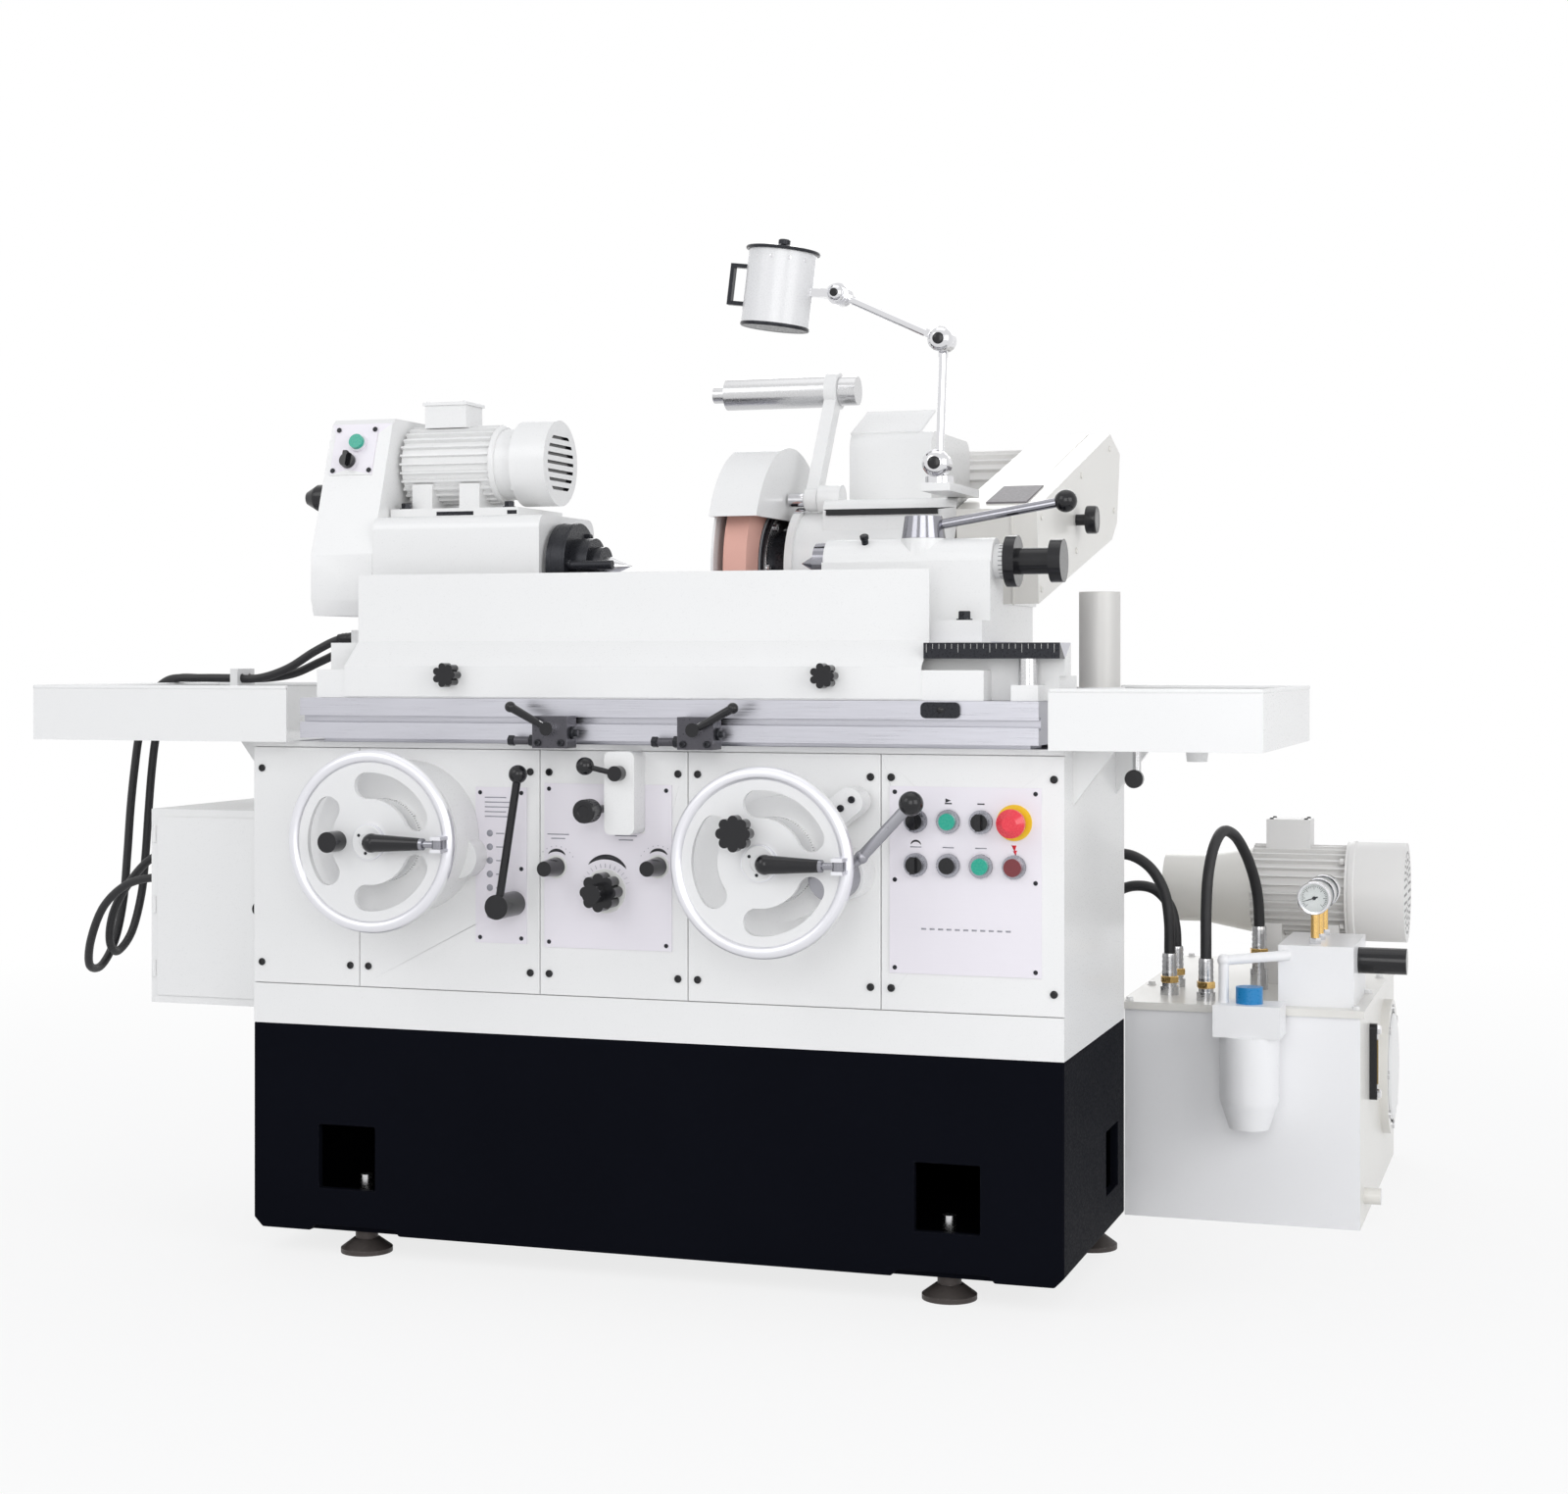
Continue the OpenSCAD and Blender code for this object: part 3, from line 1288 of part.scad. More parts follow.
module tailstock_knob() color(black) seated() {
  rod_x(spool_stem_d, tail_r - spool_stem_l, spool_l, work_y, work_z);
  rod_x(spool_d[0], spool_l, spool_l + spool_t[0], work_y, work_z);
  rod_x(spool_d[1], spool_l + spool_t[0], spool_l + spool_t[0] + spool_t[1], work_y, work_z);
  rod_x(spool_d[2], spool_l + spool_t[0] + spool_t[1], spool_l + spool_t[0] + spool_t[1] + spool_t[2],
    work_y, work_z);
}

// Wheelhead
band_z = body_z + body_h;
band_top = band_z + band_h;
shelf_top = axis_z - wheel_motor_d / 2 - wheel_foot_h;

module wheelhead_slide() color(paint) seated() {
  block(slide_x[0], slide_x[1], slide_y[0], slide_y[1], slide_z, slide_z + slide_h);
  rod_z(swivel_d, slide_z + slide_h, slide_z + slide_h + swivel_h, stem_x, swivel_y);
}

module wheelhead_housing() color(paint) seated() {
  difference() {
    union() {
      block(body_x[0], body_x[1], body_y[0], body_y[1], body_z, band_z);
      block(body_x[0] - band_over, body_x[1] + band_over, body_y[0] - band_over, body_y[1] + band_over,
        band_z, band_top);
      soft_block_x(upper_x[0], upper_x[1], upper_body_y[0], upper_body_y[1], band_top - upper_round, upper_top,
        upper_round);
      rod_x(barrel_d, barrel_x[0], barrel_x[1], wheel_y, work_z);
      rod_x(barrel_ring_d, barrel_x[0], barrel_x[0] + barrel_ring_t, wheel_y, work_z);
      soft_block_x(hood_box_x[0], hood_box_x[1], hood_box_y[0], hood_box_y[1], upper_top - hood_box_r,
        upper_top + hood_box_h, hood_box_r);
      block(shelf_x[0], shelf_x[1], shelf_y[0] - upper_round, body_y[1] + band_over, band_top,
        shelf_top);
      block(shelf_x[0], shelf_x[1], body_y[1] + band_over, shelf_y[1],
        shelf_top - shelf_h, shelf_top);
      block(gasket_x[0], gasket_x[1], gasket_y, upper_body_y[0] + upper_round, upper_top - gasket_h - upper_round,
        upper_top - upper_round);
      block(lamp_pad_x[0], upper_x[1], upper_body_y[0] + upper_round, lamp_pad_y[1], upper_top - upper_round, upper_top);
      rod_x(arm_ear_w, arm_ear_x[0], upper_x[0] + upper_round, arm_pivot[0], arm_pivot[1]);
    }
    rod_x(hood_d, body_x[0] - band_over - cut, hood_x[1], wheel_y, work_z);
    rod_x(hub_step_d + 2 * cut, hood_x[1] - cut, flange_x[1] + cut, wheel_y, work_z);
    rod_x(spindle_d + 2 * play, barrel_x[0] - cut, barrel_x[1] + band_over + cut, wheel_y, work_z);
  }
  rod_x(arm_pin_d, arm_knob_x + arm_knob_l, arm_ear_x[0], arm_pivot[0], arm_pivot[1]);
  rod_x(arm_knob_d, arm_knob_x, arm_knob_x + arm_knob_l, arm_pivot[0], arm_pivot[1]);
  difference() {
    block(lamp_pad_x[0], lamp_pad_x[1], lamp_pad_y[0], lamp_pad_y[1], upper_top, upper_top + lamp_pad_h);
    rod_z(lamp_stem_d + 2 * play, upper_top + lamp_pad_h - lamp_stem_l - gap,
      upper_top + lamp_pad_h + cut, lamp_x, lamp_y);
  }
  translate([flap_x[0], flap_y[0], upper_top + hood_box_h - flap_t]) rotate([flap_turn, 0, 0])
    cube([flap_x[1] - flap_x[0], flap_y[1] - flap_y[0], flap_t]);
}

// The belt cover's outline
belt_outline = [for (s = belt_shares)
  let(u = s[0] * belt_cover_l, v = s[1] * belt_cover_h)
  [belt_front_y + u * cos(belt_slope) - v * sin(belt_slope),
   belt_front_z + u * sin(belt_slope) + v * cos(belt_slope)]];
belt_middle = [for (i = [0, 1]) (belt_outline[0][i] + belt_outline[1][i] + belt_outline[2][i]
  + belt_outline[3][i] + belt_outline[4][i] + belt_outline[5][i]) / len(belt_outline)];
module belt_prism(x0, x1, inset) {
  translate([x0, 0, 0]) rotate([90, 0, 90]) linear_extrude(x1 - x0)
    polygon([for (p = belt_outline) p + inset * sqrt(2) * (belt_middle - p) / norm(belt_middle - p)]);
}

module wheelhead_covers() color(paint) seated() {
  // Guard round the wheel, open in front
  difference() {
    rod_x(hood_d, hood_x[0], hood_x[1], wheel_y, work_z);
    rod_x(hood_d - 2 * hood_t, hood_x[0] + hood_t, hood_x[1] - hood_t, wheel_y, work_z);
    rod_x(hub_step_d + 2 * cut, hood_x[1] - hood_t - cut, hood_x[1] + cut, wheel_y, work_z);
    block(hood_x[0] - cut, hood_x[1] + cut, wheel_y - hood_d, wheel_y, work_z - hood_d, hood_cut_z);
    block(hood_x[0] - cut, hood_x[1] + cut, wheel_y - hood_d, wheel_y + hood_d, work_z - hood_d, side_low_z);
  }
  difference() {
    rod_x(side_d, hood_x[0], hood_x[0] + hood_t, wheel_y, work_z);
    block(hood_x[0] - cut, hood_x[1] + cut, wheel_y, wheel_y + hood_d, work_z - hood_d, work_z + hood_d);
    block(hood_x[0] - cut, hood_x[1] + cut, wheel_y - hood_d, wheel_y + cut, work_z - hood_d, side_low_z);
  }
  // Cover over the belt
  difference() {
    belt_prism(belt_x[0], belt_x[1], 0);
    belt_prism(belt_x[0] + belt_wall, belt_x[1] - belt_wall, belt_wall);
    rod_x(spindle_d + 2 * cut, belt_x[0] - cut, belt_x[0] + belt_wall + cut, wheel_y, work_z);
    rod_x(motor_shaft_d + 2 * cut, belt_x[0] - cut, belt_x[0] + belt_wall + cut, axis_y, axis_z);
  }
  rod_x(belt_knob_neck_d, belt_x[1], belt_x[1] + belt_knob_l / 2, belt_knob_y, belt_knob_z);
  rod_x(belt_knob_d, belt_x[1] + belt_knob_l / 2, belt_x[1] + belt_knob_l, belt_knob_y, belt_knob_z);
  translate([badge_x - badge_w / 2, belt_outline[1][0], belt_outline[1][1]]) rotate([belt_slope, 0, 0])
    translate([0, badge_in, -badge_t]) cube([badge_w, badge_l, 2 * badge_t + badge_t]);
}

module wheel_motor() color(paint) seated() {
  difference() {
    translate([wheel_motor_x[0], axis_y, axis_z]) rotate([0, 90, 0])
      finned(wheel_motor_d, wheel_motor_x[1] - wheel_motor_x[0], motor_fin_h, motor_fin_t, motor_fins);
    rod_x(motor_shaft_d + 2 * play, wheel_motor_x[1] - motor_shaft_in, wheel_motor_x[1] + cut,
      axis_y, axis_z);
  }
  for (x = [wheel_motor_x[0] + foot_w, wheel_motor_x[1] - 2 * foot_w])
    block(x, x + foot_w, axis_y - wheel_foot_y, axis_y + wheel_foot_y,
      shelf_top + gap, axis_z - wheel_motor_d / 3);
}

module motor_pulley() color("dimgray") seated() {
  rod_x(motor_shaft_d, wheel_motor_x[1] - motor_shaft_in + gap, pulley_x[0], axis_y, axis_z);
  rod_x(motor_pulley_d, pulley_x[0], pulley_x[1], axis_y, axis_z);
}

module grinding_wheel() color("salmon") seated() {
  r = wheel_x + wheel_w;
  difference() {
    rod_x(wheel_d, wheel_x, r, wheel_y, work_z);
    rod_x(wheel_bore_d, wheel_x - cut, r + cut, wheel_y, work_z);
    rod_x(wheel_recess_d, wheel_x - cut, wheel_x + wheel_recess, wheel_y, work_z);
    rod_x(wheel_recess_d, r - wheel_recess, r + cut, wheel_y, work_z);
  }
}

module wheel_spindle() color("dimgray") seated() {
  l = wheel_x + wheel_recess;
  r = wheel_x + wheel_w - wheel_recess;
  rod_x(flange_d, flange_x[0], l, wheel_y, work_z);
  rod_x(wheel_bore_d, l, r, wheel_y, work_z);
  rod_x(flange_d, r, r + flange_rim_t, wheel_y, work_z);
  rod_x(hub_step_d, r + flange_rim_t, flange_x[1], wheel_y, work_z);
  rod_x(spindle_d, flange_x[1], pulley_x[0], wheel_y, work_z);
  rod_x(pulley_d, pulley_x[0], pulley_x[1], wheel_y, work_z);
}

// Internal grinding attachment
arm_run = inner_up - arm_pivot;
module internal_arm() color("silver") seated() {
  difference() {
    union() {
      rod_x(arm_hub_d, arm_x[0], arm_x[1], arm_pivot[0], arm_pivot[1]);
      translate([arm_x[0], arm_pivot[0], arm_pivot[1]]) rotate([atan2(arm_run[1], arm_run[0]), 0, 0])
        translate([0, 0, -arm_w / 2]) cube([arm_x[1] - arm_x[0], norm(arm_run), arm_w]);
      rod_x(arm_ring_d, arm_x[0], arm_x[1], inner_up[0], inner_up[1]);
      rod_x(inner_d, inner_x[0], arm_x[1], inner_up[0], inner_up[1]);
    }
    rod_x(arm_pin_d + 2 * play, arm_x[0] - cut, arm_x[1] + cut, arm_pivot[0], arm_pivot[1]);
    rod_x(inner_shaft_d + 2 * play, inner_x[0] - cut, arm_x[1] + cut, inner_up[0], inner_up[1]);
  }
}
module internal_spindle() color("dimgray") seated() {
  rod_x(inner_shaft_d, inner_x[0] - gap, arm_x[1] + gap, inner_up[0], inner_up[1]);
  rod_x(inner_nose_d, inner_x[0] - gap - inner_nose_l, inner_x[0] - gap, inner_up[0], inner_up[1]);
  rod_x(inner_pulley_d, arm_x[1] + gap, arm_x[1] + gap + inner_pulley_l, inner_up[0], inner_up[1]);
}

// Lamp: each joint is an eye in a fork
pad_top = upper_top + lamp_pad_h;
lamp_root = [lamp_x, lamp_y, pad_top + gap + lamp_post_h];
lamp_elbow = lamp_root + lamp_low_len * [sin(lamp_low_lean), 0, cos(lamp_low_lean)];
lamp_wrist = lamp_elbow + lamp_up_len * [-sin(lamp_up_turn), 0, cos(lamp_up_turn)];
fork_out = lamp_ear_t * 1.5 + gap;

module lamp_eye() difference() {
  union() {
    rod_y(lamp_ear_d, -lamp_ear_t / 2, lamp_ear_t / 2, 0, 0);
    block(-lamp_arm_d / 2, lamp_arm_d / 2, -lamp_ear_t / 2, lamp_ear_t / 2, 0, lamp_neck + lamp_arm_d / 2);
  }
  rod_y(lamp_bolt_d + 2 * play, -lamp_ear_t, lamp_ear_t, 0, 0);
}
module lamp_fork(reach) {
  for (s = [-1, 1]) {
    y = s * (lamp_ear_t + gap);
    rod_y(lamp_ear_d, y - lamp_ear_t / 2, y + lamp_ear_t / 2, 0, 0);
    block(-lamp_arm_d / 2, lamp_arm_d / 2, y - lamp_ear_t / 2, y + lamp_ear_t / 2, 0, reach + lamp_ear_t);
  }
  block(-lamp_arm_d / 2, lamp_arm_d / 2, -fork_out, fork_out, reach, reach + lamp_ear_t);
  rod_y(lamp_bolt_d, -fork_out, fork_out, 0, 0);
  rod_y(lamp_knob_d, -fork_out - lamp_knob_l, -fork_out, 0, 0);
}

module lamp_base() color("silver") seated() {
  rod_z(lamp_stem_d, pad_top - lamp_stem_l, pad_top + gap, lamp_x, lamp_y);
  rod_z(lamp_post_d, pad_top + gap, lamp_root[2] - lamp_neck, lamp_x, lamp_y);
  translate(lamp_root) rotate([0, 180, 0]) lamp_fork(lamp_neck);
}
module lamp_lower_arm() color("silver") seated() translate(lamp_root) rotate([0, lamp_low_lean, 0]) {
  lamp_eye();
  rod_z(lamp_arm_d, lamp_neck, lamp_low_len - lamp_neck, 0, 0);
  translate([0, 0, lamp_low_len]) rotate([0, 180, 0]) lamp_eye();
}
module lamp_upper_arm() color("silver") seated() translate(lamp_elbow) rotate([0, -lamp_up_turn, 0]) {
  lamp_fork(lamp_neck);
  rod_z(lamp_arm_d, lamp_neck + lamp_ear_t, lamp_up_len - lamp_neck, 0, 0);
  translate([0, 0, lamp_up_len]) rotate([0, 180, 0]) lamp_eye();
}
module lamp_head() color(paint) seated() translate(lamp_wrist) rotate([0, lamp_head_lean, 0]) {
  rotate([0, -90, 0]) lamp_fork(lamp_neck);
  translate([-lamp_head_out, 0, -lamp_h / 2]) {
    difference() {
      cylinder(d = lamp_d, h = lamp_h);
      translate([0, 0, -cut]) cylinder(d = lamp_d - 2 * lamp_wall, h = lamp_h + 2 * cut);
    }
    translate([0, 0, lamp_h]) cylinder(d = lamp_d + 2 * lamp_lid_over, h = lamp_lid_t);
    translate([0, 0, lamp_h - lamp_bulb_d / 2]) cylinder(d = lamp_bulb_d / 2, h = lamp_bulb_d / 2);
    translate([0, 0, lamp_h - lamp_bulb_d + lamp_wing_d]) sphere(d = lamp_bulb_d);
    translate([0, 0, lamp_h + lamp_lid_t]) cylinder(d = lamp_wing_d, h = lamp_wing_h);
    translate([-lamp_wing_h, -lamp_wing_d / 2, lamp_h + lamp_lid_t]) cube([2 * lamp_wing_h, lamp_wing_d,
      lamp_wing_h / 2]);
    for (z = [lamp_h / 4, 3 * lamp_h / 4])
      translate([-lamp_d / 2 - lamp_grip_out, -lamp_grip_w / 2, z]) cube([lamp_grip_out + cut, lamp_grip_w,
        lamp_grip_t]);
    translate([-lamp_d / 2 - lamp_grip_out, -lamp_grip_w / 2, lamp_h / 4])
      cube([lamp_grip_t, lamp_grip_w, lamp_h / 2 + lamp_grip_t]);
  }
  translate([-lamp_head_out + lamp_d / 2 - cut, -lamp_arm_d / 2, -lamp_arm_d / 2])
    cube([lamp_head_out - lamp_d / 2 - lamp_neck - lamp_ear_t + 2 * cut, lamp_arm_d, lamp_arm_d]);
}

// Handwheels and their folding grips
module handwheel(i) {
  w = wheels[i];
  translate([w[0], -rim_out, w[1]]) rotate([90, 0, 0]) {
    rotate_extrude() translate([(handwheel_d - rim_d) / 2, 0]) circle(d = rim_d);
    difference() {
      translate([0, 0, -wheel_plate_t / 2]) cylinder(d = handwheel_d - rim_d, h = wheel_plate_t);
      for (k = [0:2]) rotate(k * 120 + 60) kidney();
    }
  }
  rod_y(hub_d, -hub_out, -drum_out[i] - drum_boss_h - gap, w[0], w[1]);
  rod_y(wheel_shaft_d, -hub_out, shaft_in, w[0], w[1]);
  x = w[0] + grip_hinge_x;
  for (s = [-1, 1]) {
    z = w[1] + s * (grip_eye_h / 2 + gap + grip_ear_t / 2);
    block(x - grip_eye_d / 2, x + grip_eye_d / 2, -grip_out - grip_eye_d / 2, -rim_out, z - grip_ear_t / 2,
      z + grip_ear_t / 2);
  }
  rod_z(grip_pin_d, w[1] - grip_eye_h / 2 - grip_ear_t, w[1] + grip_eye_h / 2 + grip_ear_t, x, -grip_out);
}
module kidney() {
  t = wheel_plate_t / 2 + cut;
  mid = (kidney_in + kidney_out) / 2;
  rotate(-kidney_half_deg) rotate_extrude(angle = 2 * kidney_half_deg)
    translate([kidney_in, -t]) square([kidney_out - kidney_in, 2 * t]);
  for (a = [-kidney_half_deg, kidney_half_deg])
    rotate(a) translate([mid, 0, -t]) cylinder(d = kidney_out - kidney_in, h = 2 * t);
}
module table_handwheel() color("silver") seated() {
  handwheel(0);
  rod_y(clutch_knob_d, -clutch_knob_out, -rim_out, wheels[0][0] + clutch_knob_x, wheels[0][1]);
}
module infeed_handwheel() color("silver") seated() {
  handwheel(1);
  at = [wheels[1][0] + star_at[0], wheels[1][1] + star_at[1]];
  rod_y(star_d / 3, -star_out + star_t, -rim_out, at[0], at[1]);
  translate([at[0], -star_out + star_t, at[1]]) rotate([90, 0, 0]) lobed(star_d, star_t, star_lobes);
}
module grip(i) {
  w = wheels[i];
  x = w[0] + grip_hinge_x;
  big = [x - grip_len + grip_big_d / 2, -grip_out, w[1]];
  neck = [x - grip_eye_d / 2 - grip_neck_l, -grip_out, w[1]];
  difference() {
    union() {
      rod_z(grip_eye_d, w[1] - grip_eye_h / 2, w[1] + grip_eye_h / 2, x, -grip_out);
      rod_x(grip_neck_d, neck[0], x, -grip_out, w[1]);
    }
    rod_z(grip_pin_d + 2 * play, w[1] - grip_eye_h, w[1] + grip_eye_h, x, -grip_out);
  }
  bar(neck, big, grip_small_d, grip_big_d);
  bar(big, big - [grip_big_d / 2, 0, 0], grip_big_d, grip_small_d);
}
module table_handwheel_grip() color(black) seated() grip(0);
module infeed_handwheel_grip() color(black) seated() grip(1);

// Levers
module rapid_lever() color("silver") seated() {
  rod_y(rapid_hub_d, -rapid_hub_out, -drum_out[1] - gap, rapid_hub[0], rapid_hub[1]);
  rod_y(shaft_d, -rapid_hub_out, shaft_in, rapid_hub[0], rapid_hub[1]);
  knee = [rapid_knee[0], -rapid_out, rapid_knee[1]];
  tip = [rapid_ball[0], -rapid_out, rapid_ball[1]];
  bar([rapid_hub[0], -rapid_out, rapid_hub[1]], knee, rapid_rod_d);
  ball(rapid_rod_d + mark_w, knee);
  bar(knee, tip, rapid_rod_d);
  ball(rapid_ball_d, tip);
}
module table_lever() color(black) seated() {
  rod_y(lever_hub_d, -lever_hub_out, -plate_t - gap, lever_hub[0], lever_hub[1]);
  rod_y(shaft_d, -lever_hub_out, shaft_in, lever_hub[0], lever_hub[1]);
  tip = [lever_ball[0], -lever_rod_out, lever_ball[1]];
  bar([lever_hub[0], -lever_rod_out, lever_hub[1]], tip, lever_rod_d);
  ball(lever_ball_d, tip);
}
module reversing_lever() color(black) seated() {
  rod_y(reverse_hub_d, -reverse_hub_out, -bracket_out - gap, reverse_hub[0], reverse_hub[1]);
  rod_y(shaft_d, -reverse_hub_out, shaft_in, reverse_hub[0], reverse_hub[1]);
  tip = [reverse_ball[0], -reverse_ball_out, reverse_ball[1]];
  bar([reverse_hub[0], -reverse_ball_out, reverse_hub[1]], tip, reverse_rod_d);
  ball(reverse_ball_d, tip);
}

// Knobs, selectors and buttons of the front
module on_front(p, out) {
  translate([p[0], -out, p[1]]) rotate([90, 0, 0]) children();
}
module dwell_knob(i) on_front([dwell_x[i], dwell_z[i]], plate_t + scale_ring_h + gap) {
  cylinder(d1 = dwell_d, d2 = dwell_d - 2 * mark_w, h = dwell_out - plate_t);
  translate([0, 0, -shaft_in]) cylinder(d = shaft_d, h = shaft_in);
}
module dwell_knob_left() color(black) seated() dwell_knob(0);
module dwell_knob_right() color(black) seated() dwell_knob(1);
module speed_knob() color(black) seated()
  on_front([speed_x, speed_z], plate_t + scale_ring_h + gap) {
    lobed(speed_d, speed_out / 2, star_lobes);
    cylinder(d = speed_d / 2, h = speed_out - plate_t);
    translate([0, 0, -shaft_in]) cylinder(d = shaft_d, h = shaft_in);
  }
module front_selector(i) on_front(selector_places[i], plate_t + bezel_h + gap)
  selector(selector_d, shaft_in);
module selector_left() color(black) seated() front_selector(0);
module selector_middle() color(black) seated() front_selector(1);
module selector_lower() color(black) seated() front_selector(2);
module front_button(p) on_front(p, plate_t) push_button(button_d, button_stem_d, shaft_in);
module black_button() color(black) seated() front_button(button_places[0]);
module green_button_upper() color("mediumseagreen") seated() front_button(button_places[1]);
module green_button_lower() color("mediumseagreen") seated() front_button(button_places[2]);
module stop_button() color("crimson") seated() on_front(stop_place, plate_t) {
  translate([0, 0, stop_out - stop_cap_h]) cylinder(d = stop_d, h = stop_cap_h / 2);
  translate([0, 0, stop_out - stop_cap_h / 2]) cylinder(d1 = stop_d, d2 = stop_d / 2, h = stop_cap_h / 2);
  translate([0, 0, -shaft_in]) cylinder(d = stop_stem_d, h = shaft_in + stop_out - stop_cap_h);
}

base_plinth();
bed_casting();
front_covers();
cover_screws();
panel_plates();
levelling_feet();
trays_and_oiler();
handwheel_housings();
control_box();
hydraulic_tank();
hydraulic_motor_pump();
hydraulic_manifold();
hydraulic_hoses();
control_cables();
lower_table();
dog_left();
dog_right();
upper_table();
splash_guard();
workhead_base();
workhead_housing();
workhead_motor();
driving_plate();
work_centre();
workhead_button();
workhead_selector();
tailstock_body();
tailstock_quill();
tailstock_lever();
tailstock_knob();
wheelhead_slide();
wheelhead_housing();
wheelhead_covers();
wheel_motor();
motor_pulley();
grinding_wheel();
wheel_spindle();
internal_arm();
internal_spindle();
lamp_base();
lamp_lower_arm();
lamp_upper_arm();
lamp_head();
table_handwheel();
table_handwheel_grip();
infeed_handwheel();
infeed_handwheel_grip();
rapid_lever();
table_lever();
reversing_lever();
dwell_knob_left();
dwell_knob_right();
speed_knob();
selector_left();
selector_middle();
selector_lower();
green_button_upper();
green_button_lower();
black_button();
stop_button();
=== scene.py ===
# %% [markdown]
# # A universal cylindrical grinder, dressed in Blender
# The machine's solids were made in OpenSCAD and arrive here as a fixed frame, in metres.
# This lesson gives every solid a finish, and adds the small pieces that a maker's eye
# expects: screws, dial faces, cords, rims and marks. Nothing of the frame is moved.

# %% Load the frame
import math

import bmesh
import bpy
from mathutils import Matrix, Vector


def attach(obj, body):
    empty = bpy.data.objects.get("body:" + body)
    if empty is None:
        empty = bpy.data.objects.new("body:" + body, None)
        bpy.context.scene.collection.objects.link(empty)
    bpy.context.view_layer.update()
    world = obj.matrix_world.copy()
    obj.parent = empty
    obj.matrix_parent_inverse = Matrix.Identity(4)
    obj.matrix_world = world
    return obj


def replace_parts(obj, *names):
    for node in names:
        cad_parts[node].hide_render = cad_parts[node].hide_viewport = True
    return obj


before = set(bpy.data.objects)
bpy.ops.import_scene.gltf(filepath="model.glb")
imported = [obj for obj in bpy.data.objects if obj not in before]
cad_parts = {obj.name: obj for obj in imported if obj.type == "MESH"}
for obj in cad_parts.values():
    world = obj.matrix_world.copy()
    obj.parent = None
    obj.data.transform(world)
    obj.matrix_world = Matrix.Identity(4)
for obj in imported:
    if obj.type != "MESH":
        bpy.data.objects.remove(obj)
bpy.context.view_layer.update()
print("solids in the frame:", len(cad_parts))

# %% [markdown]
# ## Places
# All places below are machine millimetres, as on a shop drawing: X from the middle of the base,
# Y from its front face, Z from the floor. One function turns them into the frame's metres.

# %% Machine millimetres to frame metres
MM = 0.001
MIDDLE = Vector((20.5, 567.0, 0.0))


def spot(place):
    """A point in machine millimetres, as a point of the frame in metres."""
    return (Vector(place) - MIDDLE) * MM


def machine(point):
    """The other way round: a point of the frame, in machine millimetres."""
    return Vector(point) / MM + MIDDLE


print("front face of the base, in the frame:", spot((0, 0, 0)))

# %% [markdown]
# ## Camera
# The photograph was solved for its vanishing points: a level camera, 3.4 m in front of the base
# and turned 18 degrees to the left. Its horizon lies a little above the middle of the picture,
# which is a small vertical shift of the lens and keeps the upright edges upright.

# %% The camera
PICTURE_W = 1600
FOCAL_PX = 2570
HORIZON_UP_PX = 89
lens = bpy.data.cameras.new("camera")
lens.sensor_width = 36
lens.lens = FOCAL_PX / PICTURE_W * lens.sensor_width
lens.shift_y = -HORIZON_UP_PX / PICTURE_W
lens.clip_end = 100
camera = bpy.data.objects.new("camera", lens)
camera.location = spot((1330, -3388.6, 895))
camera.rotation_euler = (math.radians(90), 0, math.radians(18.1))
scene = bpy.context.scene
scene.collection.objects.link(camera)
scene.camera = camera
scene.view_settings.view_transform = "Standard"
print("lens:", round(lens.lens, 1), "mm")

# %% [markdown]
# ## Shader groups
# Paint, steel and plastic all need the same few effects: a fine grain, rings left by a lathe,
# bare metal at worn edges and dust on what faces up. Each effect is a node group, built once,
# and each material gives it values of its own.

# %% Small helpers for node trees


def add(tree, kind, **values):
    """A new node; keyword values set its properties, or its sockets where a name has no property."""
    made = tree.nodes.new(kind)
    for name, value in values.items():
        if hasattr(made, name):
            setattr(made, name, value)
        else:
            made.inputs[name.replace("_", " ")].default_value = value
    return made


def math_node(tree, how, *terms):
    """A Math node; a term is a socket or a number."""
    made = add(tree, "ShaderNodeMath", operation=how)
    for index, term in enumerate(terms):
        if isinstance(term, (int, float)):
            made.inputs[index].default_value = term
        else:
            tree.links.new(term, made.inputs[index])
    return made.outputs[0]


def group(name, inputs, outputs):
    """An empty shader group with named sockets, and its two end nodes."""
    tree = bpy.data.node_groups.new(name, "ShaderNodeTree")
    for label, kind, value in inputs:
        made = tree.interface.new_socket(label, in_out="INPUT", socket_type=kind)
        made.default_value = value
    for label, kind in outputs:
        tree.interface.new_socket(label, in_out="OUTPUT", socket_type=kind)
    return tree, tree.nodes.new("NodeGroupInput"), tree.nodes.new("NodeGroupOutput")


FLOAT, VECTOR = "NodeSocketFloat", "NodeSocketVector"

# %% Group: grain
grain_group, start, end = group(
    "grain",
    [("Stretch", VECTOR, (1, 1, 1)), ("Scale", FLOAT, 60), ("Patches", FLOAT, 6)],
    [("Fine", FLOAT), ("Broad", FLOAT)],
)
place = add(grain_group, "ShaderNodeTexCoord")
stretched = add(grain_group, "ShaderNodeVectorMath", operation="MULTIPLY")
grain_group.links.new(place.outputs["Object"], stretched.inputs[0])
grain_group.links.new(start.outputs["Stretch"], stretched.inputs[1])
fine = add(grain_group, "ShaderNodeTexNoise", Detail=4, Roughness=0.6)
broad = add(grain_group, "ShaderNodeTexNoise", Detail=3, Roughness=0.5)
grain_group.links.new(stretched.outputs[0], fine.inputs["Vector"])
grain_group.links.new(start.outputs["Scale"], fine.inputs["Scale"])
grain_group.links.new(place.outputs["Object"], broad.inputs["Vector"])
grain_group.links.new(start.outputs["Patches"], broad.inputs["Scale"])
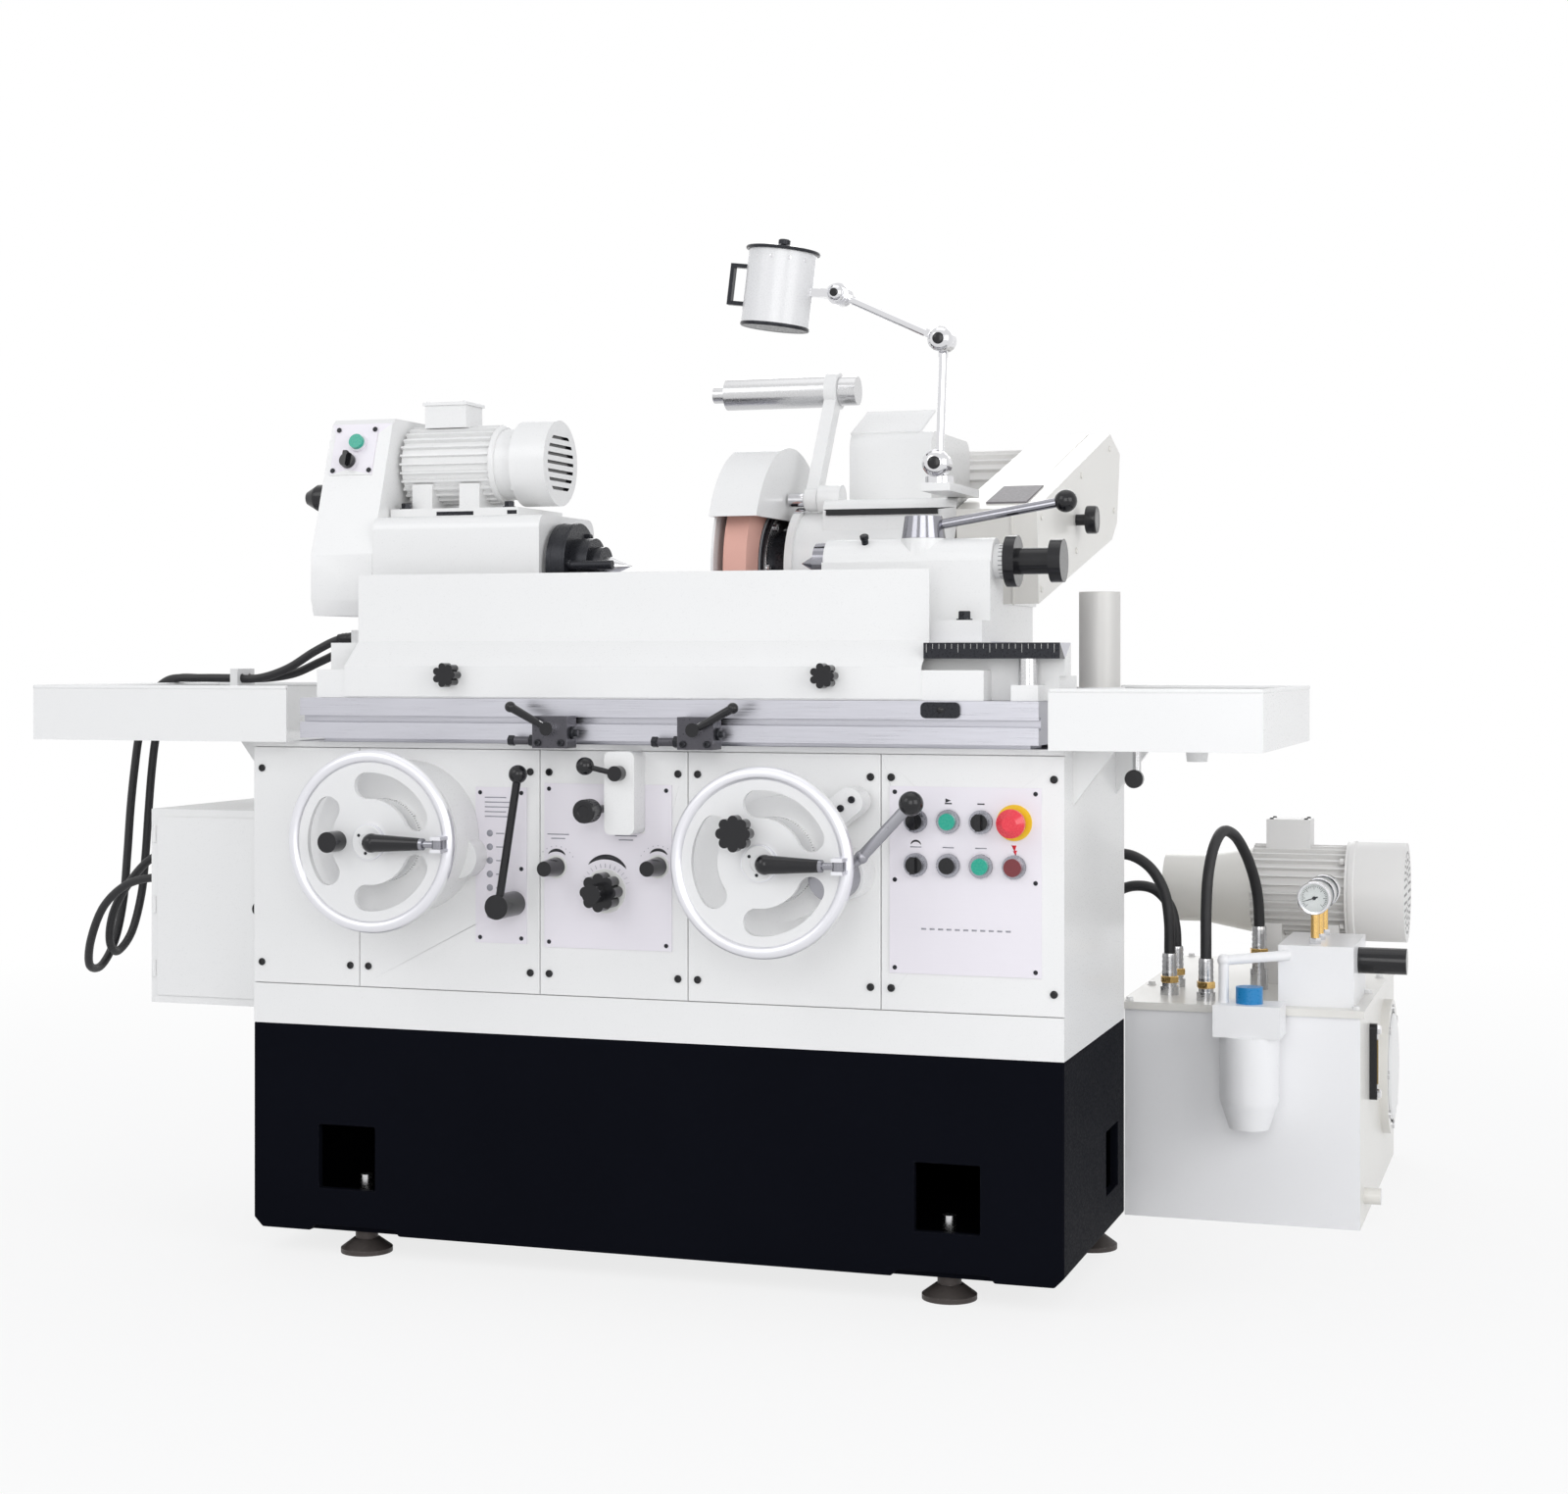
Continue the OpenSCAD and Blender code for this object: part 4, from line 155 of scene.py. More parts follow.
grain_group.links.new(fine.outputs[0], end.inputs["Fine"])
grain_group.links.new(broad.outputs[0], end.inputs["Broad"])
print("group:", grain_group.name)

# %% Group: lathe rings round an axis
ring_group, start, end = group(
    "lathe_rings",
    [("Centre", VECTOR, (0, 0, 0)), ("Across", VECTOR, (1, 0, 1)), ("Rings", FLOAT, 900)],
    [("Ring", FLOAT)],
)
place = add(ring_group, "ShaderNodeTexCoord")
away = add(ring_group, "ShaderNodeVectorMath", operation="SUBTRACT")
flat = add(ring_group, "ShaderNodeVectorMath", operation="MULTIPLY")
far = add(ring_group, "ShaderNodeVectorMath", operation="LENGTH")
ring_group.links.new(place.outputs["Object"], away.inputs[0])
ring_group.links.new(start.outputs["Centre"], away.inputs[1])
ring_group.links.new(away.outputs[0], flat.inputs[0])
ring_group.links.new(start.outputs["Across"], flat.inputs[1])
ring_group.links.new(flat.outputs[0], far.inputs[0])
noise = add(ring_group, "ShaderNodeTexNoise", noise_dimensions="1D", Scale=1, Detail=2)
ring_group.links.new(
    math_node(ring_group, "MULTIPLY", far.outputs["Value"], start.outputs["Rings"]), noise.inputs["W"]
)
ring_group.links.new(noise.outputs[0], end.inputs["Ring"])
print("group:", ring_group.name)

# %% Group: wear on edges
wear_group, start, end = group(
    "edge_wear", [("Amount", FLOAT, 0.3), ("Spots", FLOAT, 90)], [("Worn", FLOAT)]
)
shape = add(wear_group, "ShaderNodeNewGeometry")
rounded = add(wear_group, "ShaderNodeBevel", samples=4)
rounded.inputs["Radius"].default_value = 0.0025
bent = add(wear_group, "ShaderNodeVectorMath", operation="DOT_PRODUCT")
wear_group.links.new(rounded.outputs["Normal"], bent.inputs[0])
wear_group.links.new(shape.outputs["Normal"], bent.inputs[1])
place = add(wear_group, "ShaderNodeTexCoord")
chips = add(wear_group, "ShaderNodeTexNoise", Detail=5, Roughness=0.7)
wear_group.links.new(place.outputs["Object"], chips.inputs["Vector"])
wear_group.links.new(start.outputs["Spots"], chips.inputs["Scale"])
edge = math_node(wear_group, "MULTIPLY", math_node(wear_group, "SUBTRACT", 0.985, bent.outputs["Value"]), 9)
picked = math_node(wear_group, "MULTIPLY", math_node(wear_group, "SUBTRACT", chips.outputs[0], 0.48), 5)
edge_clamped = add(wear_group, "ShaderNodeClamp")
chip_clamped = add(wear_group, "ShaderNodeClamp")
wear_group.links.new(edge, edge_clamped.inputs[0])
wear_group.links.new(picked, chip_clamped.inputs[0])
both = math_node(wear_group, "MULTIPLY", edge_clamped.outputs[0], chip_clamped.outputs[0])
wear_group.links.new(math_node(wear_group, "MULTIPLY", both, start.outputs["Amount"]), end.inputs["Worn"])
print("group:", wear_group.name)

# %% Group: dust on what faces up
dust_group, start, end = group("dust", [("Amount", FLOAT, 0.1)], [("Dusty", FLOAT)])
shape = add(dust_group, "ShaderNodeNewGeometry")
place = add(dust_group, "ShaderNodeTexCoord")
split = add(dust_group, "ShaderNodeSeparateXYZ")
cloud = add(dust_group, "ShaderNodeTexNoise", Scale=14, Detail=5, Roughness=0.65)
dust_group.links.new(place.outputs["Object"], cloud.inputs["Vector"])
dust_group.links.new(shape.outputs["Normal"], split.inputs[0])
up = add(dust_group, "ShaderNodeClamp")
dust_group.links.new(split.outputs["Z"], up.inputs[0])
dusty = math_node(dust_group, "MULTIPLY", up.outputs[0], cloud.outputs[0])
dust_group.links.new(math_node(dust_group, "MULTIPLY", dusty, start.outputs["Amount"]), end.inputs["Dusty"])
print("group:", dust_group.name)

# %% [markdown]
# ## Finishes
# One function lays the groups under a Principled shader: the broad patches shift the colour a
# little, the fine grain moves the roughness and gives relief, wear and dust come on top.
# Numbers that stay the same all over a surface are set on the shader's own sockets.

# %% A finish from the groups


def finish(name, colour, rough, metal=0.0, coat=0.0, scale=220.0, stretch=(1, 1, 1), tone=0.04, swing=0.1,
           relief=0.15, depth=0.0002, wear=0.0, bare=(0.32, 0.31, 0.30), dust=0.05, rings=None, shine=0.5):
    """A procedural material. rings is (centre in machine mm, mask across the axis, rings a metre)."""
    made = bpy.data.materials.new(name)
    made.use_nodes = True
    tree = made.node_tree
    shader = tree.nodes["Principled BSDF"]
    shader.inputs["Metallic"].default_value = metal
    shader.inputs["Specular IOR Level"].default_value = shine
    shader.inputs["Coat Weight"].default_value = coat
    shader.inputs["Coat Roughness"].default_value = 0.12
    grain = add(tree, "ShaderNodeGroup", node_tree=grain_group)
    grain.inputs["Stretch"].default_value = stretch
    grain.inputs["Scale"].default_value = scale
    relief_value = grain.outputs["Fine"]
    if rings:
        centre, across, count = rings
        lathe = add(tree, "ShaderNodeGroup", node_tree=ring_group)
        lathe.inputs["Centre"].default_value = spot(centre)
        lathe.inputs["Across"].default_value = across
        lathe.inputs["Rings"].default_value = count
        relief_value = lathe.outputs["Ring"]
    shade = add(tree, "ShaderNodeMix", data_type="RGBA")
    shade.inputs["A"].default_value = (*[max(0, c * (1 - tone)) for c in colour], 1)
    shade.inputs["B"].default_value = (*[min(1, c * (1 + tone)) for c in colour], 1)
    mixed = math_node(tree, "MULTIPLY", math_node(tree, "ADD", grain.outputs["Broad"], relief_value), 0.5)
    tree.links.new(mixed, shade.inputs["Factor"])
    colour_out = shade.outputs["Result"]
    for groups, amount, top, label in ((wear_group, wear, bare, "Worn"), (dust_group, dust, (0.42, 0.41, 0.38), "Dusty")):
        if not amount:
            continue
        mask = add(tree, "ShaderNodeGroup", node_tree=groups)
        mask.inputs["Amount"].default_value = amount
        over = add(tree, "ShaderNodeMix", data_type="RGBA")
        over.inputs["B"].default_value = (*top, 1)
        tree.links.new(mask.outputs[label], over.inputs["Factor"])
        tree.links.new(colour_out, over.inputs["A"])
        colour_out = over.outputs["Result"]
    tree.links.new(colour_out, shader.inputs["Base Color"])
    spread = add(tree, "ShaderNodeMapRange")
    spread.inputs["From Min"].default_value = 0.3
    spread.inputs["From Max"].default_value = 0.7
    spread.inputs["To Min"].default_value = max(0.02, rough - swing)
    spread.inputs["To Max"].default_value = min(1, rough + swing)
    tree.links.new(relief_value, spread.inputs["Value"])
    tree.links.new(spread.outputs[0], shader.inputs["Roughness"])
    bump = add(tree, "ShaderNodeBump", Strength=relief, Distance=depth)
    tree.links.new(relief_value, bump.inputs["Height"])
    tree.links.new(bump.outputs[0], shader.inputs["Normal"])
    return made


# %% [markdown]
# ### Paint
# The castings and covers wear a thick, satin white paint with a faint orange peel. Paint is not
# metallic: the metal shows only where an edge was knocked. The plinth is nearly black blue.

# %% Paints
white = finish("white_paint", (0.83, 0.83, 0.825), 0.34, coat=0.25, scale=420, tone=0.012, relief=0.05, wear=0.2,
               dust=0.03)
# cream_and_shade is a darker, warmer copy of the white paint. On the belt cover and the tank's right side it is
# painted shade; it also colours the tank lid's edge band and the pump end.
cream_and_shade = finish("cream_and_shade_paint", (0.80, 0.785, 0.745), 0.36, coat=0.25, scale=420, tone=0.015, relief=0.05, wear=0.25,
               dust=0.05)
navy = finish("plinth_paint", (0.0045, 0.005, 0.008), 0.5, scale=300, tone=0.25, swing=0.1, relief=0.08,
              wear=0.35, bare=(0.06, 0.06, 0.07), dust=0.0, shine=0.01)
grey_paint = finish("motor_grey_paint", (0.78, 0.77, 0.755), 0.42, scale=380, tone=0.04, wear=0.2, dust=0.1)
wheel_white = finish("wheel_web_paint", (0.78, 0.78, 0.78), 0.4, scale=380, tone=0.03, wear=0.2)
enamel = finish("lamp_enamel", (0.76, 0.76, 0.765), 0.3, coat=0.3, scale=420, tone=0.012, relief=0.04, dust=0.02)
# tank_lit_white is a lighter copy of the white paint: painted light that lifts the hydraulic tank and its manifold
# out of the base's shade.
tank_lit_white = finish("tank_lit_paint", (0.90, 0.90, 0.91), 0.36, coat=0.2, scale=420, tone=0.012, relief=0.05, wear=0.2,
                    dust=0.02)
yellow = finish("yellow_plate", (0.86, 0.58, 0.02), 0.35, scale=300, tone=0.05)
print("paints:", [m.name for m in (white, cream_and_shade, navy, grey_paint, wheel_white, yellow)])

# %% [markdown]
# ### Metal
# Ground steel has fine lines along the stroke of the grinding wheel, so its noise is squeezed
# across the table. Turned and polished parts get rings round their own axis instead.

# %% Steels, aluminium and brass
ground = finish("ground_steel", (0.56, 0.56, 0.61), 0.34, metal=1, scale=160, stretch=(0.06, 4, 4), tone=0.14,
                swing=0.1, relief=0.25, depth=0.0001, dust=0.04)
steel = finish("bright_steel", (0.62, 0.62, 0.63), 0.24, metal=1, scale=500, tone=0.08, swing=0.08, dust=0.03)
blued = finish("blackened_steel", (0.022, 0.023, 0.028), 0.3, metal=0.4, scale=300, tone=0.2, wear=0.3,
               bare=(0.2, 0.2, 0.21), dust=0.02, shine=0.3)
chrome = finish("chrome", (0.72, 0.72, 0.74), 0.09, metal=1, scale=300, tone=0.03, swing=0.04, relief=0.03, dust=0.02)
brass = finish("brass", (0.80, 0.53, 0.20), 0.24, metal=1, scale=300, tone=0.1, swing=0.08, dust=0.04)
bezel = finish("bezel_grey", (0.34, 0.34, 0.38), 0.28, metal=1, scale=300, tone=0.06, swing=0.06, relief=0.05,
               dust=0.02)
gunmetal = finish("gunmetal", (0.085, 0.083, 0.095), 0.34, metal=0.6, scale=260, tone=0.2, wear=0.5,
                  bare=(0.34, 0.34, 0.36), dust=0.02, shine=0.3)
lever_grey = finish("lever_grey", (0.34, 0.34, 0.37), 0.36, metal=0.8, scale=260, tone=0.06, dust=0.02)
dark_chrome = finish("dark_chrome", (0.30, 0.30, 0.33), 0.15, metal=1, scale=300, tone=0.05, swing=0.05, relief=0.03,
                     dust=0.02)
label_metal = finish("bare_label", (0.17, 0.16, 0.17), 0.5, scale=240, tone=0.05, relief=0.08, dust=0.02)
plate_metal = finish("plate_aluminium", (0.80, 0.77, 0.82), 0.42, metal=0.1, scale=240, stretch=(0.08, 3, 3),
                     tone=0.03, swing=0.08, relief=0.08, dust=0.02)
tube_grey = finish("post_grey", (0.66, 0.65, 0.63), 0.45, metal=0.2, scale=200, stretch=(3, 3, 0.1), tone=0.05)
iron = finish("foot_iron", (0.055, 0.045, 0.042), 0.5, metal=0.3, scale=260, tone=0.3, relief=0.5, depth=0.0006,
              wear=0.5, dust=0.1)
rims = [
    finish("polished_rim_" + side, (0.78, 0.78, 0.82), 0.36, metal=0.85, tone=0.05, swing=0.06, relief=0.08,
           depth=0.0001, dust=0.02, rings=((x, -124, z), (1, 0, 1), 700))
    for side, x, z in (("left", -363, 633), ("right", 230, 617))
]
print("metals ready, two of them with lathe rings")

# %% [markdown]
# ### Plastic, rubber and stone
# Phenolic knobs are glossy and almost black. The wheel is bonded grit: coarse sparkle, high
# relief and no gloss. The hoses are matt rubber with a fine moulded weave.

# %% Plastics, rubber, grit
black = finish("black_phenolic", (0.009, 0.009, 0.011), 0.2, coat=0.2, scale=240, tone=0.2, swing=0.06,
               relief=0.03, wear=0.15, bare=(0.05, 0.05, 0.055), dust=0.01, shine=0.3)
green = finish("green_plastic", (0.004, 0.36, 0.25), 0.28, coat=0.3, scale=300, tone=0.06, relief=0.05, dust=0.02)
red = finish("red_plastic", (0.75, 0.025, 0.05), 0.26, coat=0.4, scale=300, tone=0.06, relief=0.05, dust=0.02)
dark_red = finish("pilot_lens", (0.16, 0.006, 0.014), 0.16, coat=0.6, scale=300, tone=0.1, relief=0.04, dust=0.01)
blue = finish("blue_cap", (0.008, 0.22, 0.52), 0.32, scale=300, tone=0.06, dust=0.02)
rubber = finish("black_rubber", (0.011, 0.011, 0.013), 0.5, scale=900, stretch=(1, 1, 1), tone=0.25, swing=0.12,
                relief=0.5, depth=0.0003, dust=0.08)
grit = finish("bonded_grit", (0.95, 0.50, 0.42), 0.85, scale=1400, tone=0.2, swing=0.08, relief=0.9, depth=0.0008,
              dust=0.0)
blotter = finish("blotter_paper", (0.30, 0.31, 0.33), 0.8, scale=500, tone=0.08, relief=0.3)
ink = finish("printed_ink", (0.02, 0.02, 0.025), 0.5, scale=400, tone=0.1, relief=0.05, dust=0.0)
pale_ink = finish("printed_grey", (0.34, 0.34, 0.38), 0.5, scale=400, tone=0.1, relief=0.05, dust=0.0)
dial_white = finish("dial_white", (0.78, 0.78, 0.76), 0.4, scale=400, tone=0.02, relief=0.05, dust=0.0)
opal = finish("opal_glass", (0.85, 0.84, 0.80), 0.22, coat=0.4, scale=200, tone=0.02, relief=0.03, dust=0.0)
print("plastics and others ready")

# %% Clear glass for gauges and the oil level
glass = bpy.data.materials.new("clear_glass")
glass.use_nodes = True
clear = glass.node_tree.nodes["Principled BSDF"]
clear.inputs["Base Color"].default_value = (0.95, 0.97, 0.98, 1)
clear.inputs["Transmission Weight"].default_value = 1.0
clear.inputs["IOR"].default_value = 1.05
smear = add(glass.node_tree, "ShaderNodeGroup", node_tree=grain_group)
smear.inputs["Scale"].default_value = 90
film = add(glass.node_tree, "ShaderNodeMapRange")
film.inputs["To Min"].default_value = 0.02
film.inputs["To Max"].default_value = 0.09
glass.node_tree.links.new(smear.outputs["Fine"], film.inputs["Value"])
glass.node_tree.links.new(film.outputs[0], clear.inputs["Roughness"])
print("glass ready")

# %% [markdown]
# ## Dressing the solids
# Every solid keeps its mesh. It gets a finish, and where one solid holds parts of several
# materials, a box in machine millimetres picks the faces of each. A weld, a small bevel and
# weighted normals round the sharp edges in the render, as paint and a file do on the real one.

# %% Give a solid its finishes


def inside(point, box):
    """Whether a machine point is in a box (x0, x1, y0, y1, z0, z1)."""
    return all(low <= value <= high for value, low, high in zip(point, box[::2], box[1::2]))


def dress(node, base, spots=(), edge=1.0):
    """Puts the base finish on a solid, and each spot's finish on the faces in its box."""
    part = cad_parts[node]
    finishes = [base]
    for other, _ in spots:
        if other not in finishes:
            finishes.append(other)
    part.data.materials.clear()
    for made in finishes:
        part.data.materials.append(made)
    for face in part.data.polygons:
        face.material_index = 0
        middle = machine(face.center)
        for other, box in spots:
            if inside(middle, box):
                face.material_index = finishes.index(other)
    if edge:
        weld = part.modifiers.new("weld", "WELD")
        weld.merge_threshold = 0.00001
        bevel = part.modifiers.new("edge", "BEVEL")
        bevel.width = edge * MM
        bevel.segments = 2
        bevel.limit_method = "ANGLE"
        bevel.angle_limit = math.radians(32)
        part.modifiers.new("normals", "WEIGHTED_NORMAL")
        for face in part.data.polygons:
            face.use_smooth = True


WIDE = 9999


def span(x=(-WIDE, WIDE), y=(-WIDE, WIDE), z=(-WIDE, WIDE)):
    """A box that is open on the sides that aren't given."""
    return (*x, *y, *z)


# %% Base and bed
dress("base_plinth", navy, edge=2)
dress("bed_casting", white, [(ground, span(z=(771.9, 785)))], edge=1.6)
dress("front_covers", white, edge=0.8)
dress("levelling_feet", iron, [(steel, span(z=(35.2, 200)))], edge=0.8)
dress("handwheel_housings", white, edge=1.5)
dress("control_box", white, edge=1.5)
dress("trays_and_oiler", white, [(tube_grey, (571, 637, 329, 395, 853.5, 1000))], edge=0.8)
print("base dressed")

# %% The panel on the front
dress("panel_plates", plate_metal, [
    (bezel, span(x=(395, 575), y=(-8, -2.1), z=(590, 690))),
    (yellow, (530, 582, -4.3, -2.3, 645, 697)),
    (dark_red, (543, 569, -20, -7.2, 597, 623)),
    (blued, span(y=(-3.8, -3.4))), (dial_white, (-92, -6, -3.81, -2.1, 517, 603)),
    (dial_white, (-151, -101, -3.81, -2.1, 568, 619)), (dial_white, (7, 58, -3.81, -2.1, 572, 623)),
], edge=0.3)
print("panel dressed")

# %% Hydraulic unit
# The tank's front and the manifold take the lighter tank white, which is painted light. The tank's right side, x
# above 961.9, takes the cream copy, which is painted shade. The lid's edge band is cream as well.
dress("hydraulic_tank", tank_lit_white, [
    (cream_and_shade, span(x=(961.9, 980))), (cream_and_shade, span(z=(333, 346))), (steel, span(x=(976.2, 985), y=(900, 1300))),
    (black, (961.5, 975, 803, 827, 177, 303)),
], edge=1)
dress("hydraulic_motor_pump", grey_paint, [(cream_and_shade, span(x=(590, 752.5)))], edge=0)
dress("hydraulic_manifold", tank_lit_white, [
    (brass, (870, 902, 690, 850, 441.5, 491)), (chrome, (855, 917, 685, 855, 488, 545)),
    (black, span(x=(950.3, 1040))), (blue, (770, 820, 570, 622, 356.2, 390)),
    (steel, (625, 732, 670, 870, 345.2, 385)), (steel, (760, 795, 843, 877, 345.2, 420)),
], edge=0.8)
print("hydraulic unit dressed")

# %% Tables, dogs and the guard before the table
dress("lower_table", ground, [(blued, (425, 495, -40, -30.2, 805, 845))], edge=0.6)
for side, x in (("left", -110), ("right", 112)):
    dress("dog_" + side, gunmetal, [
        (black, span(y=(-79, -64.6))), (steel, (x - 11, x + 11, -74, -64.4, 785, 808)),
    ], edge=0.6)
dress("upper_table", white, [
    (ground, span(z=(908, 925), y=(20.5, 179))), (blued, span(x=(429, 640), y=(-40, 19.5), z=(896.5, 920.7))),
    (steel, (555, 595, -25, 19.5, 860.5, 898)),
], edge=1)
dress("splash_guard", white, [(black, span(y=(-60, -26.3)))], edge=0.5)
print("tables dressed")

# %% Workhead and tailstock
dress("workhead_base", steel, edge=0.8)
dress("workhead_housing", white, [
    (black, span(x=(-600, -559.3), y=(90, 150))), (plate_metal, (-549.5, -476.5, 98, 125, 1181, 1256)),
], edge=1)
# The black on the cowl's slot floors is painted shade, for the dark seen through the vents.
dress("workhead_motor", white, [(black, (-210, -204.6, 140, 250, 1140, 1255))], edge=0)
dress("driving_plate", blued, edge=0.8)
dress("work_centre", steel, edge=0)
dress("workhead_button", green, edge=0.6)
dress("workhead_selector", black, edge=0.6)
dress("tailstock_body", white, edge=1.5)
dress("tailstock_quill", dark_chrome, edge=0.6)
dress("tailstock_lever", dark_chrome, [(black, (575, 620, 130, 175, 1100, 1145))], edge=0)
dress("tailstock_knob", black, edge=1.2)
print("workhead and tailstock dressed")

# %% Wheelhead
dress("wheelhead_slide", white, edge=1.5)
# The black band at z 1110 to 1124 is painted shadow: it stands for the dark gap under the housing's upper cover.
dress("wheelhead_housing", white, [
    (black, (195, 375, 284, 309, 1110, 1124)), (chrome, (121, 150, 310, 365, 1120, 1165)),
], edge=1)
# The covers' cream is painted shade of the white paint. Only the wheel guard, x 40 to 120, stays plain white.
dress("wheelhead_covers", cream_and_shade, [
    (white, span(x=(40, 120))), (black, span(x=(528.3, 565))), (label_metal, (442, 506, 301, 460, 1126, 1190)),
], edge=0.8)
dress("wheel_motor", grey_paint, edge=0)
dress("motor_pulley", steel, edge=0.6)
dress("grinding_wheel", grit, edge=0.5)
dress("wheel_spindle", blued, [(steel, span(x=(122.3, 500)))], edge=0.8)
dress("internal_arm", white, [(steel, span(x=(-25, 149.5)))], edge=0.8)
dress("internal_spindle", steel, edge=0.6)
print("wheelhead dressed")

# %% Lamp
dress("lamp_base", chrome, edge=0.6)
dress("lamp_lower_arm", chrome, edge=0.5)
dress("lamp_upper_arm", chrome, edge=0.5)
dress("lamp_head", enamel, [
    (blued, span(x=(60, 105))), (chrome, span(z=(1498, 1560))), (opal, (131, 186, 147, 203, 1422, 1497)),
    (chrome, span(x=(211, 270))),
], edge=0)
print("lamp dressed")

# %% Handwheels, levers and knobs
for name, x, z, rim in (("table", -363, 633, rims[0]), ("infeed", 230, 617, rims[1])):
    dress(name + "_handwheel", rim, [
        (wheel_white, (x - 122, x + 122, -128.8, -119.2, z - 122, z + 122)),
        (black, (x - 75, x + 12, -175, -134.2, z - 20, z + 70)),
    ], edge=0)
    dress(name + "_handwheel_grip", black, [(dark_chrome, (x + 90, x + 130, -170, -130, z - 12, z + 12))], edge=0)
dress("rapid_lever", lever_grey, [(black, (412, 455, -112, -68, 680, 722))], edge=0)
for name in ("table_lever", "reversing_lever", "dwell_knob_left", "dwell_knob_right", "speed_knob",
             "selector_left", "selector_middle", "selector_lower", "black_button"):
    dress(name, black, edge=0.5)
dress("green_button_upper", green, edge=0.5)
dress("green_button_lower", green, edge=0.5)
dress("stop_button", red, edge=1.5)
dress("cover_screws", black, edge=0.4)
print("controls dressed")

# %% [markdown]
# ## Cords
# Two cables hang in a loop at the left end, and three hoses join the hydraulic unit to the
# machine. Each is one open curve through the same points as its solid, smoothed between them.

# %% A smooth line through points


def smooth_line(points, steps=8):
    """Catmull-Rom points through a route, in frame metres."""
    route = [spot(p) for p in points]
    route = [route[0] * 2 - route[1]] + route + [route[-1] * 2 - route[-2]]
    line = []
    for a, b, c, d in zip(route, route[1:], route[2:], route[3:]):
        for k in range(steps):
            t = k / steps
            line.append(0.5 * (2 * b + (c - a) * t + (2 * a - 5 * b + 4 * c - d) * t**2
                               + (3 * b - a - 3 * c + d) * t**3))
    return line + [route[-2]]


def length_of(line):
    return sum((b - a).length for a, b in zip(line, line[1:]))


# %% The routes, in machine millimetres
routes = {
    "cable_upper": [
        (-641, 360, 930), (-675, 360, 928), (-720, 360, 908), (-770, 360, 880), (-825, 360, 864),
        (-885, 360, 864), (-945, 360, 864), (-1000, 362, 860), (-1040, 368, 826), (-1062, 374, 772),
        (-1076, 380, 710), (-1088, 386, 640), (-1097, 390, 560), (-1105, 390, 480), (-1114, 378, 412),
        (-1120, 346, 372), (-1116, 305, 378), (-1098, 282, 424), (-1068, 275, 482), (-1022, 275, 520),
        (-965, 275, 533), (-905, 275, 535), (-855, 275, 535)],
    "cable_lower": [
        (-641, 384, 912), (-675, 384, 910), (-720, 384, 892), (-770, 384, 872), (-825, 384, 864),
        (-885, 384, 864), (-945, 384, 864), (-1002, 386, 860), (-1028, 392, 815), (-1046, 398, 760),
        (-1058, 404, 700), (-1068, 410, 630), (-1076, 414, 560), (-1083, 412, 490), (-1090, 392, 425),
        (-1095, 355, 396), (-1090, 325, 420), (-1075, 314, 468), (-1044, 310, 516), (-1000, 310, 560),
        (-945, 310, 577), (-895, 310, 580), (-855, 310, 580)],
    "hose_arch": [
        (714, 690, 379), (714, 690, 430), (714, 692, 490), (716, 699, 545), (722, 720, 590), (732, 752, 614),
        (746, 786, 606), (759, 818, 576), (769, 843, 538), (775, 856, 500), (777, 860, 460), (777, 860, 416)],
    "hose_front": [
        (646, 745, 379), (646, 745, 420), (645, 746, 468), (636, 750, 514), (612, 754, 552), (576, 757, 572),
        (536, 759, 568), (502, 760, 548), (474, 760, 540), (458, 760, 540)],
    "hose_back": [
        (640, 850, 379), (640, 850, 410), (638, 850, 446), (628, 850, 482), (602, 850, 508), (566, 850, 512),
        (530, 850, 498), (500, 850, 482), (474, 850, 476), (458, 850, 476)],
}
print("routes:", {name: len(points) for name, points in routes.items()})

# %% The cords themselves
for name, points in routes.items():
    cable = name.startswith("cable")
    thick = 14 * MM if cable else 18 * MM
    line = smooth_line(points)
    curve = bpy.data.curves.new(name, "CURVE")
    curve.dimensions = "3D"
    curve.bevel_depth = thick / 2
    curve.bevel_resolution = 5
    spline = curve.splines.new("POLY")
    spline.points.add(len(line) - 1)
    for target, point in zip(spline.points, line):
        target.co = (*point, 1)
    spline.use_smooth = True
    tube = bpy.data.objects.new(name, curve)
    scene.collection.objects.link(tube)
    tube.data.materials.append(rubber)
    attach(tube, "base")
    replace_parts(tube, "control_cables" if cable else "hydraulic_hoses")
    print(name, round(length_of(line), 3), "m")

# %% [markdown]
# ## Building small pieces
# Most small parts of a machine tool are turned or cut from bar, so two tools make nearly all
# of them here: a lathe, which spins a profile round an axis, and a prism, which pushes an outline
# through the metal. Both write into one mesh, and each piece ends with a fine bevel.

# %% A workbench for small pieces


